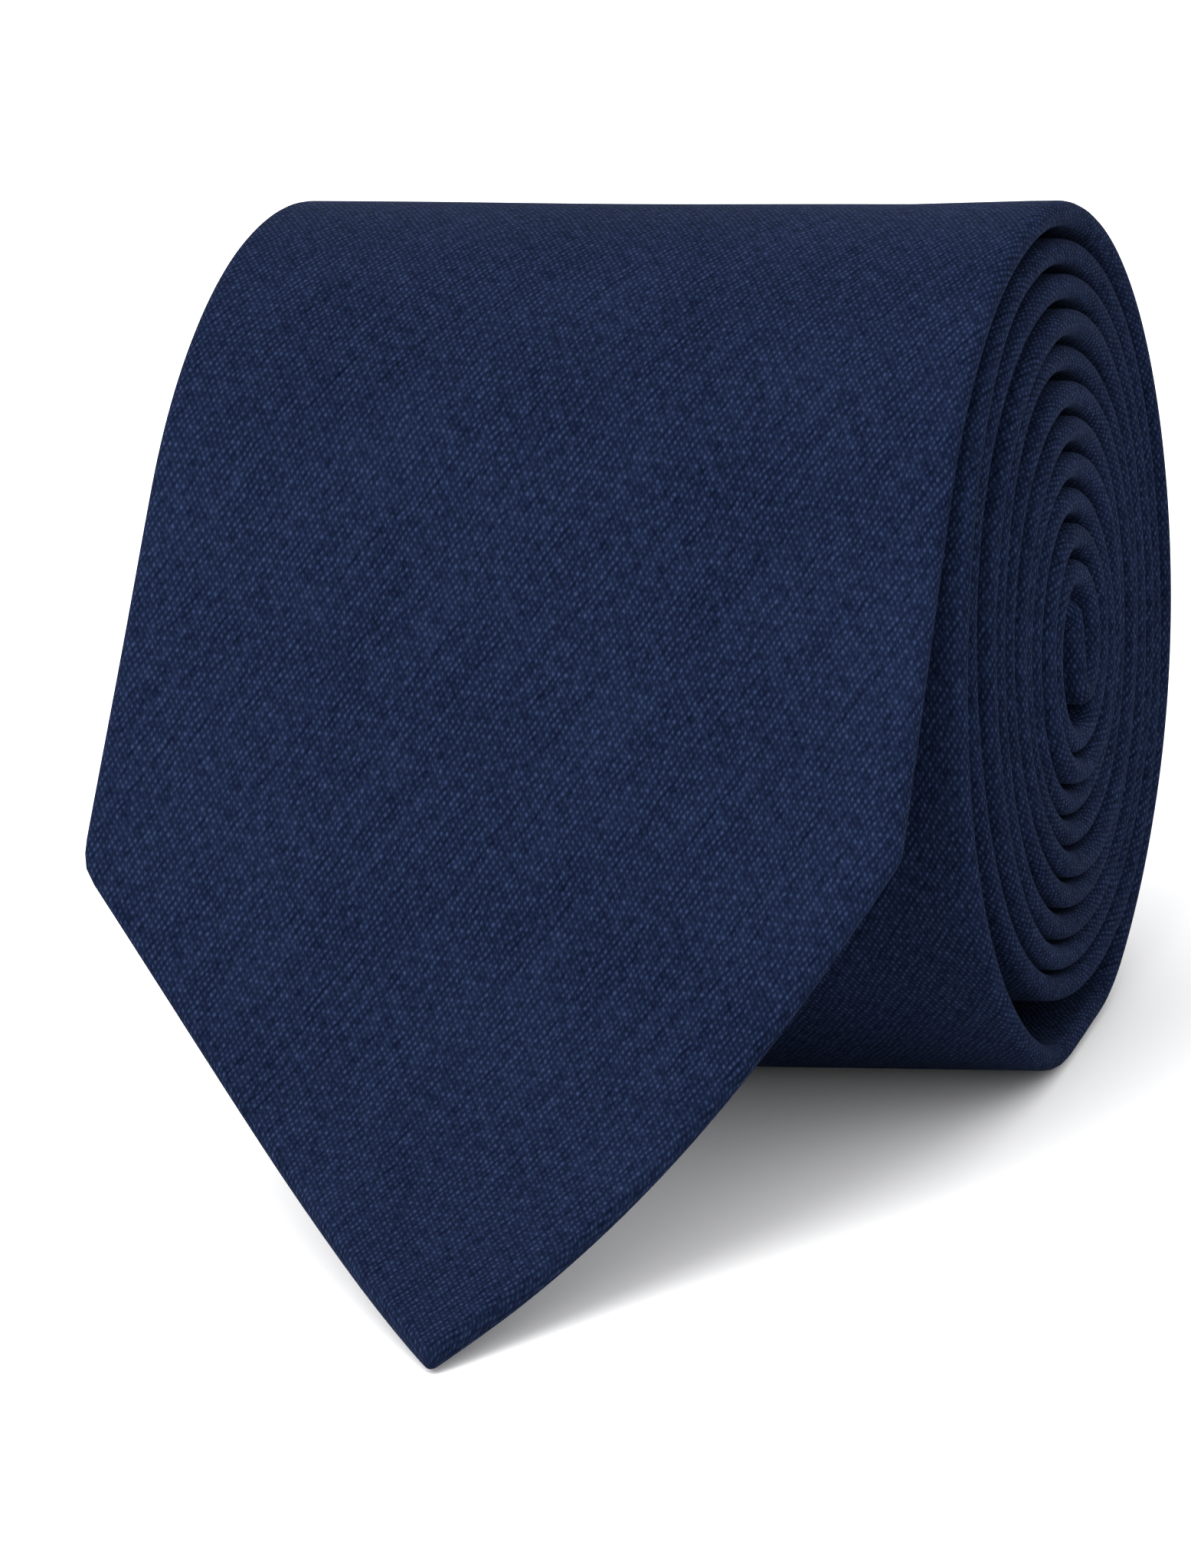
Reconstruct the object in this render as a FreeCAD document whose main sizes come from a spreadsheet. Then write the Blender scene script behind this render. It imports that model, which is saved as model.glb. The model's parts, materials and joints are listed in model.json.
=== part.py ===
import FreeCAD, Part
import Sketcher
import math
import os

# Rolled necktie: one long folded strip, coiled from its narrow tail outwards.
#
# Frame: X runs along the roll's axis, -Y is where the blade's point lies, +Z is up.
# The origin is the middle of the flat strip on which the roll rests.
#
# Every piece of cloth follows one route in the YZ plane.  The route is the outer face of
# the folded strip, from the blade's point up over the roll and round to the tail's point.
# A piece is a stretch of that route between two distances from the point, between two
# depths below the outer face, and between a left and a right edge along X.

SIZES = [
    # alias, millimetres (or degrees, or a count), what it is
    ("roll_height", 72.0, "floor to the top of the roll"),
    ("blade_width", 70.0, "strip width at the blade's corners"),
    ("blade_point", 54.0, "length of the blade's pointed end"),
    ("blade_slope", 53.4, "degrees, slope of the blade in front of the roll"),
    ("flare_radius", 61.7, "bend that carries the blade out over the floor"),
    ("flare_slope", 15.25, "degrees, slope of the pointed end at the floor"),
    ("flare_run", 5.5, "straight end of the point after the bend"),
    ("blade_drift", 3.35, "how far left the blade's corners lie"),
    ("tip_offset", 1.0, "how far right the blade's point lies"),
    ("top_taper", 3.0, "how much narrower the strip is where it passes over the roll"),
    ("neck_width", 36.0, "strip width at the neck"),
    ("tail_width", 46.0, "strip width at the tail's corners"),
    ("tail_point", 10.0, "length of the tail's pointed end"),
    ("blade_taper_end", 780.0, "distance from the point where the neck width starts"),
    ("neck_end", 1060.0, "distance from the point where the tail starts to widen"),
    ("blade_panel", 760.0, "blade panel, point to joining seam"),
    ("neck_panel", 310.0, "neck panel, seam to seam"),
    ("wide_interlining", 880.0, "end of the wide interlining, from the point"),
    ("shell_thickness", 0.4, "shell cloth"),
    ("interlining_thickness", 1.1, "interlining"),
    ("lining_thickness", 0.3, "tipping lining"),
    ("lap_room", 0.45, "room for the lapped flap and the lining"),
    ("layer_gap", 0.05, "air between two layers inside the strip"),
    ("edge_gap", 0.15, "air between the interlining and a folded edge"),
    ("top_gap", 0.65, "air between turns at the top"),
    ("bottom_gap", 0.25, "air between turns at the bottom"),
    ("core_height", 13.5, "least height of the hollow turn at the core"),
    ("keeper_room", 2.0, "extra room under the roll that the keeper makes"),
    ("core_shift", 1.0, "how far back the inner turns lie"),
    ("core_stand_out", 1.5, "how far right the core stands past the outer turn"),
    ("rest_width", 11.0, "width of the flat strip that rests on the floor"),
    ("rest_corner", 22.0, "bend radius beside the flat strip"),
    ("core_wrap", 55.0, "degrees that the tail follows the core past its back"),
    ("core_bend", 3.0, "outer radius of the tail's tight bend inside the core"),
    ("tail_fold", 0.2, "radius inside the fold of the tail's pointed end"),
    ("fold_room", 0.5, "air above that fold"),
    ("tail_drop", 2.3, "how far the tail's point hangs below the tight bend's centre"),
    ("split_gap", 0.4, "gap where a bending body begins"),
    ("seam_gap", 0.1, "gap where two panels meet"),
    ("closed_point", 3.0, "solid end of the folded cloth at each point"),
    ("interlining_setback", 8.0, "from the blade's point to the interlining"),
    ("lining_tuck", 5.0, "how far the lining reaches under the flaps"),
    ("lining_margin", 4.0, "from the tail lining's edge to the folded edge"),
    ("window_room", 1.0, "from the turned hem to the opening between the flaps"),
    ("hem_width", 10.0, "shell cloth turned back round the blade's point"),
    ("blade_tack", 113.0, "bar tack of the blade, from the point"),
    ("tail_tack", 50.0, "bar tack of the tail, from the tail's point"),
    ("tack_length", 7.0, "bar tack across the strip"),
    ("tack_width", 1.6, "bar tack along the strip"),
    ("tack_height", 0.35, "bar tack thickness"),
    ("keeper_place", 222.0, "middle of the keeper, from the blade's point"),
    ("keeper_width", 20.0, "keeper along the strip"),
    ("keeper_span", 46.0, "keeper across the strip"),
    ("keeper_thickness", 0.8, "doubled cloth of the keeper"),
    ("label_place", 262.0, "middle of the blank label, from the point"),
    ("label_width", 28.0, "label along the strip"),
    ("label_span", 42.0, "label across the strip"),
    ("label_thickness", 0.3, "label cloth"),
    ("care_place", 239.5, "middle of the blank care label, from the point"),
    ("care_width", 13.0, "care label along the strip"),
    ("care_span", 16.0, "care label across the strip"),
    ("thread", 0.5, "width of a stitch"),
    ("thread_height", 0.25, "thickness of a stitch"),
    ("stitch_length", 2.0, "length of a stitch"),
    ("stitch_step", 8.0, "distance between hem stitches"),
    ("end_stitches", 4.0, "stitches at each end of the keeper and of the label"),
]

BLUNT = 0.4          # half width of a cloth point, so that its end is a face
STATION_STEP = 12.0  # straight steps that follow a tapering edge
NEAR_KNOT = 0.5      # a step this close to another one is left out
MARGIN = 6.0         # how far a trimming outline reaches past the cloth's own height
FAR = 200.0          # longer than the object, for trimming prisms
OVERRUN = 1.0        # how far a hollow runs past the end of the piece it is cut from
ROUNDING = 1 / 3     # share of a bar tack's height that its edges are rounded by
TINY = 1e-6          # shorter stretches of the route are left out
LEVEL = 1e-9         # a slope this small counts as level


def make_sheet(doc):
    """Write the driving dimensions into a spreadsheet with one alias each."""
    sheet = doc.addObject("Spreadsheet::Sheet", "sizes")
    for row, (alias, value, note) in enumerate(SIZES, start=1):
        sheet.set("A%d" % row, alias)
        sheet.set("B%d" % row, repr(value))
        sheet.set("C%d" % row, note)
        sheet.setAlias("B%d" % row, alias)
    doc.recompute()
    return sheet


class Stretch:
    """One arc or straight run of the route, in the YZ plane.

    heading is measured from +Y towards +Z.  turn is +1 where the route turns inwards
    (towards the roll), -1 where it turns outwards and 0 where it is straight.
    """

    def __init__(self, start, heading, turn, radius, amount):
        self.start = start
        self.heading = heading
        self.turn = turn
        self.radius = radius
        self.amount = amount

    def point(self, share, depth):
        """Point at a share of the stretch, at a depth below the outer face."""
        heading = self.heading_at(share)
        inward = (math.sin(heading), -math.cos(heading))
        y, z = self.start
        if self.turn == 0:
            run = self.amount * share
            base = (y + run * math.cos(heading), z + run * math.sin(heading))
        else:
            first = (math.sin(self.heading), -math.cos(self.heading))
            reach = self.turn * self.radius
            centre = (y + reach * first[0], z + reach * first[1])
            base = (centre[0] - reach * inward[0], centre[1] - reach * inward[1])
        return base[0] + depth * inward[0], base[1] + depth * inward[1]

    def heading_at(self, share):
        """Heading at a share of the stretch."""
        if self.turn == 0:
            return self.heading
        return self.heading - self.turn * self.amount * share

    def length(self, depth):
        """Length of the stretch at a depth below the outer face."""
        if self.turn == 0:
            return self.amount
        return (self.radius - self.turn * depth) * self.amount

    def edge(self, first, last, depth):
        """Edge from one share to another at a depth, as a line or a round arc."""
        start = FreeCAD.Vector(0, *self.point(first, depth))
        end = FreeCAD.Vector(0, *self.point(last, depth))
        if self.turn == 0:
            return Part.LineSegment(start, end).toShape()
        middle = FreeCAD.Vector(0, *self.point((first + last) / 2, depth))
        return Part.Arc(start, middle, end).toShape()


class Route:
    """The outer face of the strip, from the blade's point to the tail's point.

    Distances along it are measured at the middle of the strip's thickness.
    """

    def __init__(self, get):
        self.get = get
        self.thickness = (2 * get("shell_thickness") + get("interlining_thickness")
                          + get("lap_room"))
        self.stretches = []
        self.marks = {}
        self.point = None
        self.heading = 0.0
        self._blade()
        self._outer_turn()
        self._inner_turns()
        self._tail_end()

    def _add(self, turn, radius, amount):
        stretch = Stretch(self.point, self.heading, turn, radius, amount)
        self.stretches.append(stretch)
        self.point = stretch.point(1.0, 0.0)
        self.heading = stretch.heading_at(1.0)

    def _straight(self, run):
        self._add(0, 0.0, run)

    def _inwards(self, radius, angle):
        self._add(1, radius, angle)

    def _outwards(self, radius, angle):
        self._add(-1, radius, angle)

    def _mark(self, name):
        self.marks[name] = self.total()

    def total(self):
        """Length of the route so far."""
        return sum(s.length(self.thickness / 2) for s in self.stretches)

    def top(self, turn):
        """Height of the outer face at the top of a turn."""
        return self.get("roll_height") - turn * (self.thickness + self.get("top_gap"))

    def bottom(self, turn):
        """Height of the outer face at the bottom of a turn."""
        if turn == 0:
            return 0.0
        return self.get("keeper_room") + turn * (self.thickness + self.get("bottom_gap"))

    def turn_count(self):
        """Turns inside the outermost top layer, as many as leave room for the core."""
        turn = 1
        while self.top(turn + 1) - self.bottom(turn + 1) >= self.get("core_height"):
            turn += 1
        return turn

    def _blade(self):
        get = self.get
        steep = math.radians(get("blade_slope"))
        shallow = math.radians(get("flare_slope"))
        over = self.top(1) / 2 + self.top(0) - self.top(1)
        flare = get("flare_radius")
        end_height = self.thickness * math.cos(shallow)
        drop = get("roll_height") - end_height
        fixed = (over * (1 - math.cos(steep)) + flare * (math.cos(shallow) - math.cos(steep))
                 + get("flare_run") * math.sin(shallow))
        run = (drop - fixed) / math.sin(steep)
        reach = (over * math.sin(steep) + run * math.cos(steep)
                 + flare * (math.sin(steep) - math.sin(shallow))
                 + get("flare_run") * math.cos(shallow))
        self.point = (-reach, end_height)
        self.heading = shallow
        self._straight(get("flare_run"))
        self._outwards(flare, steep - shallow)
        self._mark("flare")
        self.flare_hinge = self.point
        self._straight(run)
        self._inwards(over, steep)
        self._mark("top")

    def _rested_radius(self, height):
        """Radius of a round turn of this height whose bottom is flattened."""
        corner = self.get("rest_corner")
        half = self.get("rest_width") / 2
        lift = height - corner
        return (lift ** 2 + half ** 2 - corner ** 2) / (2 * (lift - corner))

    def _outer_turn(self):
        corner = self.get("rest_corner")
        half = self.get("rest_width") / 2
        back = self._rested_radius(self.top(0))
        front = self._rested_radius(self.top(1))
        back_corner = math.asin(half / (back - corner))
        front_corner = math.asin(half / (front - corner))
        self._inwards(back, math.pi - back_corner)
        self._inwards(corner, back_corner)
        self._straight(2 * half)
        self._inwards(corner, front_corner)
        self._inwards(front, math.pi - front_corner)
        self._straight(self.get("core_shift"))

    def _inner_turns(self):
        for turn in range(1, self.turn_count()):
            self._inwards((self.top(turn) - self.bottom(turn)) / 2, math.pi)
            self._inwards((self.top(turn + 1) - self.bottom(turn)) / 2, math.pi)

    def _tail_end(self):
        get = self.get
        last = self.turn_count()
        bend = get("core_bend")
        fold = get("tail_fold")
        wrap = math.radians(get("core_wrap"))
        radius = (self.top(last) - self.bottom(last)) / 2
        bend_height = self.top(last) - radius - (radius - bend) * math.sin(wrap)
        fold_height = self.top(last) - get("fold_room") - fold - 2 * self.thickness
        flap = fold_height - bend_height
        self._inwards(radius, math.pi / 2 + wrap)
        self._inwards(bend, math.pi - wrap)
        self._straight(flap)
        self._outwards(fold, math.pi)
        self._straight(flap + get("tail_drop"))

    def place(self, distance, depth=None):
        """Point at a distance from the blade's point and the heading there."""
        depth = self.thickness / 2 if depth is None else depth
        left = distance
        for stretch in self.stretches:
            length = stretch.length(self.thickness / 2)
            if left <= length or stretch is self.stretches[-1]:
                share = left / length
                return stretch.point(share, depth), stretch.heading_at(share)
            left -= length

    def rises(self, first, last):
        """Split a part of the route into rises, falls and level runs.

        Each item is a list of (stretch, first share, last share) and its two distances.
        """
        groups = []
        passed = 0.0
        for stretch in self.stretches:
            length = stretch.length(self.thickness / 2)
            low = max(first, passed)
            high = min(last, passed + length)
            if high - low > TINY:
                shares = ((low - passed) / length, (high - passed) / length)
                for span in self._level_spans(stretch, *shares):
                    self._append(groups, stretch, span, passed, length)
            passed += length
        return groups

    def _level_spans(self, stretch, low, high):
        """Shares of a stretch, cut where its heading passes the level."""
        cuts = [low]
        if stretch.turn:
            turned = [stretch.heading_at(low), stretch.heading_at(high)]
            bottom, top = min(turned), max(turned)
            level = math.ceil(bottom / math.pi - LEVEL) * math.pi
            crossings = []
            while level < top + LEVEL:
                crossings.append((stretch.heading - level) / (stretch.turn * stretch.amount))
                level += math.pi
            cuts += sorted(c for c in crossings if low + TINY < c < high - TINY)
        cuts.append(high)
        return zip(cuts[:-1], cuts[1:])

    def _append(self, groups, stretch, span, passed, length):
        middle = stretch.heading_at((span[0] + span[1]) / 2)
        level = abs(math.sin(middle)) < LEVEL
        trend = 0 if level else math.copysign(1, math.sin(middle))
        start = passed + span[0] * length
        end = passed + span[1] * length
        if groups and groups[-1]["trend"] == trend:
            groups[-1]["parts"].append((stretch, *span))
            groups[-1]["end"] = end
        else:
            groups.append({"trend": trend, "parts": [(stretch, *span)],
                           "start": start, "end": end})


class Edges:
    """Left and right edges of the strip, as distances along X."""

    def __init__(self, route):
        get = route.get
        total = route.total()
        top = route.marks["top"]
        half = get("blade_width") / 2
        drift = get("blade_drift")
        tip = get("tip_offset")
        right_top = (get("blade_width") - get("top_taper")) / 2
        right_core = right_top + get("core_stand_out")
        corner = total - get("tail_point")

        def right_in_roll(distance):
            share = (distance - top) / (corner - top)
            return right_top + share * (right_core - right_top)

        tail_middle = right_core - get("tail_width") / 2
        self.right_knots = [(0.0, tip + BLUNT), (get("blade_point"), half - drift),
                            (top, right_top), (corner, right_core),
                            (total, tail_middle + BLUNT)]
        taper_end = get("blade_taper_end")
        neck_end = get("neck_end")
        self.left_knots = [(0.0, tip - BLUNT), (get("blade_point"), -half - drift),
                           (top, -right_top),
                           (taper_end, right_in_roll(taper_end) - get("neck_width")),
                           (neck_end, right_in_roll(neck_end) - get("neck_width")),
                           (corner, right_core - get("tail_width")),
                           (total, tail_middle - BLUNT)]

    def right(self, distance):
        """Right edge at a distance from the blade's point."""
        return along(self.right_knots, distance)

    def left(self, distance):
        """Left edge at a distance from the blade's point."""
        return along(self.left_knots, distance)

    def middle(self, distance):
        """Middle line of the strip."""
        return (self.left(distance) + self.right(distance)) / 2


def along(knots, distance):
    """Straight-line value between knots, held beyond the ends."""
    if distance <= knots[0][0]:
        return knots[0][1]
    for (low, start), (high, end) in zip(knots[:-1], knots[1:]):
        if distance <= high:
            return start + (end - start) * (distance - low) / (high - low)
    return knots[-1][1]


def band_face(parts, outer, inner):
    """Closed face between two depths along consecutive parts of the route."""
    outside = [s.edge(first, last, outer) for s, first, last in parts]
    inside = [s.edge(last, first, inner) for s, first, last in reversed(parts)]
    first_stretch, first_share, _ = parts[0]
    last_stretch, _, last_share = parts[-1]
    far_cap = Part.LineSegment(FreeCAD.Vector(0, *last_stretch.point(last_share, outer)),
                               FreeCAD.Vector(0, *last_stretch.point(last_share, inner)))
    near_cap = Part.LineSegment(FreeCAD.Vector(0, *first_stretch.point(first_share, inner)),
                                FreeCAD.Vector(0, *first_stretch.point(first_share, outer)))
    edges = outside + [far_cap.toShape()] + inside + [near_cap.toShape()]
    return Part.Face(Part.Wire(edges))


def outline_prism(route, group, left, right, knots):
    """Prism whose outline follows two edges over one rise or fall of the route.

    It runs along Z where the group covers more ground than height, and else along Y.
    """
    start, end = group["start"], group["end"]
    steps = range(math.floor(start / STATION_STEP), math.ceil(end / STATION_STEP))
    inside = [*knots, *(STATION_STEP * step for step in steps)]
    distances = {start, end} | {d for d in inside if start + NEAR_KNOT < d < end - NEAR_KNOT}
    places = [(route.place(d)[0], left(d), right(d)) for d in sorted(distances)]
    ground = places[-1][0][0] - places[0][0][0]
    height = places[-1][0][1] - places[0][0][1]
    flat = abs(ground) > abs(height)
    rows = [(yz[0] if flat else yz[1], l, r) for yz, l, r in places]
    ahead = math.copysign(MARGIN, ground if flat else height)
    rows.insert(0, (rows[0][0] - ahead, rows[0][1], rows[0][2]))
    rows.append((rows[-1][0] + ahead, rows[-1][1], rows[-1][2]))

    def corner(x, along_route):
        if flat:
            return FreeCAD.Vector(x, along_route, -FAR / 2)
        return FreeCAD.Vector(x, -FAR / 2, along_route)

    ring = [corner(r, place) for place, _, r in rows]
    ring += [corner(l, place) for place, l, _ in reversed(rows)]
    ring.append(ring[0])
    through = FreeCAD.Vector(0, 0, FAR) if flat else FreeCAD.Vector(0, FAR, 0)
    return Part.Face(Part.makePolygon(ring)).extrude(through)


def strip(route, span, depths, left, right, knots=()):
    """Solid piece of cloth: part of the route between two depths and two edges."""
    cells = []
    for group in route.rises(*span):
        band = band_face(group["parts"], *depths)
        band.translate(FreeCAD.Vector(-FAR / 2, 0, 0))
        block = band.extrude(FreeCAD.Vector(FAR, 0, 0))
        cells.append(block.common(outline_prism(route, group, left, right, knots)))
    whole = cells[0] if len(cells) == 1 else cells[0].multiFuse(cells[1:])
    return whole.removeSplitter()


def plain_strip(route, span, depths, across):
    """Strip with straight edges at two fixed distances along X."""
    return strip(route, span, depths, lambda d: across[0], lambda d: across[1])


class Cloth:
    """Every piece of cloth and thread that follows the route, by node name."""

    def __init__(self, route, edges):
        self.route = route
        self.edges = edges
        self.get = route.get
        get = self.get
        self.shell = get("shell_thickness")
        self.corner = get("blade_point")
        self.total = route.total()
        self.tail_corner = self.total - get("tail_point")
        self.tail_tack = self.total - get("tail_tack")
        half_gap = get("split_gap") / 2
        flare = route.marks["flare"]
        top = route.marks["top"]
        self.tip_span = (0.0, flare - half_gap)
        self.drape_span = (flare + half_gap, top - half_gap)
        self.roll_start = top + half_gap
        self.first_seam = get("blade_panel")
        self.second_seam = get("blade_panel") + get("neck_panel")

    def knots(self):
        """Distances where an edge changes direction."""
        return (self.corner, self.tail_corner, self.get("blade_taper_end"),
                self.get("neck_end"))

    def inset_strip(self, span, depths, inset):
        """Strip whose folded edges lie a fixed distance inside the outer ones."""
        return strip(self.route, span, depths,
                     lambda d: self.edges.left(d) + inset,
                     lambda d: self.edges.right(d) - inset, self.knots())

    def tube(self, span, hollow_span):
        """Flat tube of shell cloth round the hollow that holds the interlining."""
        outside = self.inset_strip(span, (0.0, self.route.thickness), 0.0)
        hollow_depths = (self.shell, self.route.thickness - self.shell)
        hollow = self.inset_strip(hollow_span, hollow_depths, self.shell)
        return outside.cut(hollow)

    def blade_window_half(self, distance):
        """Half width of the opening between the blade's back flaps."""
        get = self.get
        if distance <= self.corner:
            slant = math.hypot(get("blade_width") / 2, self.corner) / self.corner
            return (get("blade_width") / 2) * distance / self.corner - get("hem_width") * slant
        start = self.blade_window_half(self.corner)
        share = (distance - self.corner) / (self.window_end() - self.corner)
        return start + share * (get("thread") - start)

    def window_start(self):
        """Distance where the blade's opening begins above the point."""
        get = self.get
        slant = math.hypot(get("blade_width") / 2, self.corner) / self.corner
        first = get("hem_width") * slant * self.corner / (get("blade_width") / 2)
        return first + get("window_room")

    def window_end(self):
        """Distance where the blade's back flaps meet, just below the bar tack."""
        return self.get("blade_tack") - 2 * self.get("tack_width")

    def blade_window(self, span, depths, grow=0.0):
        """Piece with the outline of the blade's opening, grown by a margin."""
        middle = self.edges.middle

        def left(distance):
            return middle(distance) - self.blade_window_half(distance) - grow

        def right(distance):
            return middle(distance) + self.blade_window_half(distance) + grow

        return strip(self.route, span, depths, left, right, (self.corner,))

    def back_wall(self):
        """Depths of the back layer of the shell, with a margin each way to cut it."""
        thickness = self.route.thickness
        margin = self.get("layer_gap") / 2
        return thickness - self.shell - margin, thickness + margin

    def shells(self):
        """The shell's panels, cut apart where a body bends."""
        seam = self.get("seam_gap") / 2
        point = self.get("closed_point")
        tip_hollow_end = self.tip_span[1] + OVERRUN
        tip = self.tube(self.tip_span, (point, tip_hollow_end))
        tip = tip.cut(self.blade_window((self.window_start(), tip_hollow_end),
                                        self.back_wall()))
        start, end = self.drape_span
        drape = self.tube(self.drape_span, (start - OVERRUN, end + OVERRUN))
        drape = drape.cut(self.blade_window((start - OVERRUN, self.window_end()),
                                            self.back_wall()))
        first = (self.roll_start, self.first_seam - seam)
        second = (self.first_seam + seam, self.second_seam - seam)
        third = (self.second_seam + seam, self.total)
        open_third = (third[0] - OVERRUN, self.total - point)
        return {
            "shell_blade_point": tip,
            "shell_blade_drape": drape,
            "shell_blade_rolled": self.tube(first, (first[0] - OVERRUN, first[1] + OVERRUN)),
            "shell_neck_panel": self.tube(second, (second[0] - OVERRUN, second[1] + OVERRUN)),
            "shell_tail_panel": self.tube(third, open_third),
        }

    def interlinings(self):
        """Wide interlining in three bodies and the narrow one that carries on to the tail."""
        get = self.get
        outer = self.shell + get("layer_gap")
        depths = (outer, outer + get("interlining_thickness"))
        inset = self.shell + get("edge_gap")
        join = get("wide_interlining")
        spans = {
            "interlining_point": (get("interlining_setback"), self.tip_span[1]),
            "interlining_drape": self.drape_span,
            "interlining_wide_rolled": (self.roll_start, join - get("seam_gap") / 2),
            "interlining_narrow": (join + get("seam_gap") / 2, self.tail_corner),
        }
        return {name: self.inset_strip(span, depths, inset) for name, span in spans.items()}

    def lining_depths(self):
        """Depths of the tipping lining, between interlining and back flaps."""
        get = self.get
        inner = self.route.thickness - self.shell - get("layer_gap") / 2
        return inner - get("lining_thickness") + get("layer_gap") / 2, inner

    def linings(self):
        """Tipping lining of the blade, in its two bodies, and of the tail."""
        under_flap = self.get("lining_tuck")
        depths = self.lining_depths()
        first = self.window_start() - under_flap
        point = self.blade_window((first, self.tip_span[1]), depths, under_flap)
        drape = self.blade_window((self.drape_span[0], self.window_end() - under_flap),
                                  depths, under_flap)
        margin = self.get("lining_margin")
        tail = self.inset_strip((self.tail_tack + margin, self.tail_corner), depths, margin)
        return {"tipping_blade_point": point, "tipping_blade_drape": drape,
                "tipping_tail": tail}

    def keeper(self):
        """Keeper on the back of the blade: a doubled strip that holds the tail."""
        get = self.get
        inner = self.route.thickness + 2 * get("layer_gap")
        depths = (inner, inner + get("keeper_thickness"))
        thread_depths = (self.route.thickness + get("layer_gap") / 2, depths[1])
        sizes = (get("keeper_place"), get("keeper_width"), get("keeper_span"))
        return {"keeper_loop": self.patch(*sizes, depths),
                "keeper_stitches": self.patch_stitches(*sizes, thread_depths)}

    def label(self):
        """Blank woven label and the stitches along its two ends."""
        get = self.get
        depth = self.route.thickness + get("layer_gap")
        depths = (depth, depth + get("label_thickness"))
        sizes = (get("label_place"), get("label_width"), get("label_span"))
        return {"blank_label": self.patch(*sizes, depths),
                "label_stitches": self.patch_stitches(*sizes, depths)}

    def patch(self, place, width, across, depths):
        """Rectangular piece sewn to the back of the strip."""
        centre = self.edges.middle(place)
        return plain_strip(self.route, (place - width / 2, place + width / 2), depths,
                           (centre - across / 2, centre + across / 2))

    def patch_stitches(self, place, width, across, depths):
        """Stitches just outside the two ends of a patch."""
        get = self.get
        centre = self.edges.middle(place)
        count = int(get("end_stitches"))
        step = width / (count + 1)
        bars = []
        for side in (-1, 1):
            near = centre + side * (across / 2 + get("layer_gap"))
            far = near + side * get("thread")
            for index in range(count):
                start = place - width / 2 + (index + 1) * step - get("stitch_length") / 2
                bars.append(plain_strip(self.route, (start, start + get("stitch_length")),
                                        depths, (min(near, far), max(near, far))))
        return Part.makeCompound(bars)

    def slip_stitch(self):
        """Long thread that closes the back seam, hidden between the flaps."""
        get = self.get
        half = get("thread") / 2
        depths = self.thread_depths()
        span = (self.roll_start, self.tail_tack)
        thread = strip(self.route, span, depths,
                       lambda d: self.edges.middle(d) - half,
                       lambda d: self.edges.middle(d) + half, self.knots())
        return {"slip_stitch": thread}

    def thread_depths(self):
        """Depths of a thread between interlining and back flaps."""
        get = self.get
        inner = self.route.thickness - self.shell - 2 * get("layer_gap")
        return inner - get("thread_height"), inner

    def seam_stitches(self):
        """Rows of stitches that join the panels, inside the strip."""
        get = self.get
        rows = {}
        for name, seam in (("seam_stitches_blade_neck", self.first_seam),
                           ("seam_stitches_neck_tail", self.second_seam)):
            bars = []
            step = get("stitch_step") / 2
            middle = self.edges.middle(seam)
            count = int((self.edges.right(seam) - self.edges.left(seam)) / 2 / step) - 1
            for index in list(range(-count, 0)) + list(range(1, count + 1)):
                place = middle + index * step
                half = get("thread") / 2
                bars.append(plain_strip(self.route,
                                        (seam - get("stitch_length") / 2,
                                         seam + get("stitch_length") / 2),
                                        self.thread_depths(), (place - half, place + half)))
            rows[name] = Part.makeCompound(bars)
        return rows

    def hem_stitches(self):
        """Stitches that hold the turned hem to the lining, one group for each body."""
        get = self.get
        base = self.route.thickness - self.shell + get("layer_gap") / 2
        depths = (base, base + get("thread_height"))
        long = get("stitch_length")
        groups = {}
        spans = (("hem_stitches_point", self.window_start() + long, self.tip_span[1]),
                 ("hem_stitches_drape", self.drape_span[0] + long, self.window_end()))
        for name, first, last in spans:
            bars = []
            count = int((last - first - 2 * long) / get("stitch_step"))
            for index in range(count + 1):
                start = first + index * get("stitch_step")
                narrow = min(self.blade_window_half(start),
                             self.blade_window_half(start + long))
                edge = narrow - get("thread")
                if edge < 3 * get("thread"):
                    continue
                middle = self.edges.middle(start + long / 2)
                for near, far in ((-edge, get("thread") - edge), (edge - get("thread"), edge)):
                    bars.append(plain_strip(self.route, (start, start + long), depths,
                                            (middle + near, middle + far)))
            groups[name] = Part.makeCompound(bars)
        return groups

    def all(self):
        """Every piece by node name."""
        pieces = {}
        for make in (self.shells, self.interlinings, self.linings, self.keeper, self.label,
                     self.slip_stitch, self.seam_stitches, self.hem_stitches):
            pieces.update(make())
        return pieces


def add_cloth(doc, pieces):
    """Put each piece of cloth into the document under its node name."""
    for name, shape in pieces.items():
        feature = doc.addObject("Part::Feature", name)
        feature.Label = name
        feature.Shape = shape
        feature.Placement = FreeCAD.Placement()


def lay_on_back(route, edges, distance, lift):
    """Placement on the back face of the strip, X across and Y along the route."""
    (y, z), heading = route.place(distance, route.thickness + lift)
    turn = FreeCAD.Rotation(FreeCAD.Vector(1, 0, 0), math.degrees(heading))
    return FreeCAD.Placement(FreeCAD.Vector(edges.middle(distance), y, z), turn)


def bow(width, radius):
    """How far a hollow round face bows away under a straight bar of this width."""
    return width ** 2 / (8 * radius)


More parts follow.
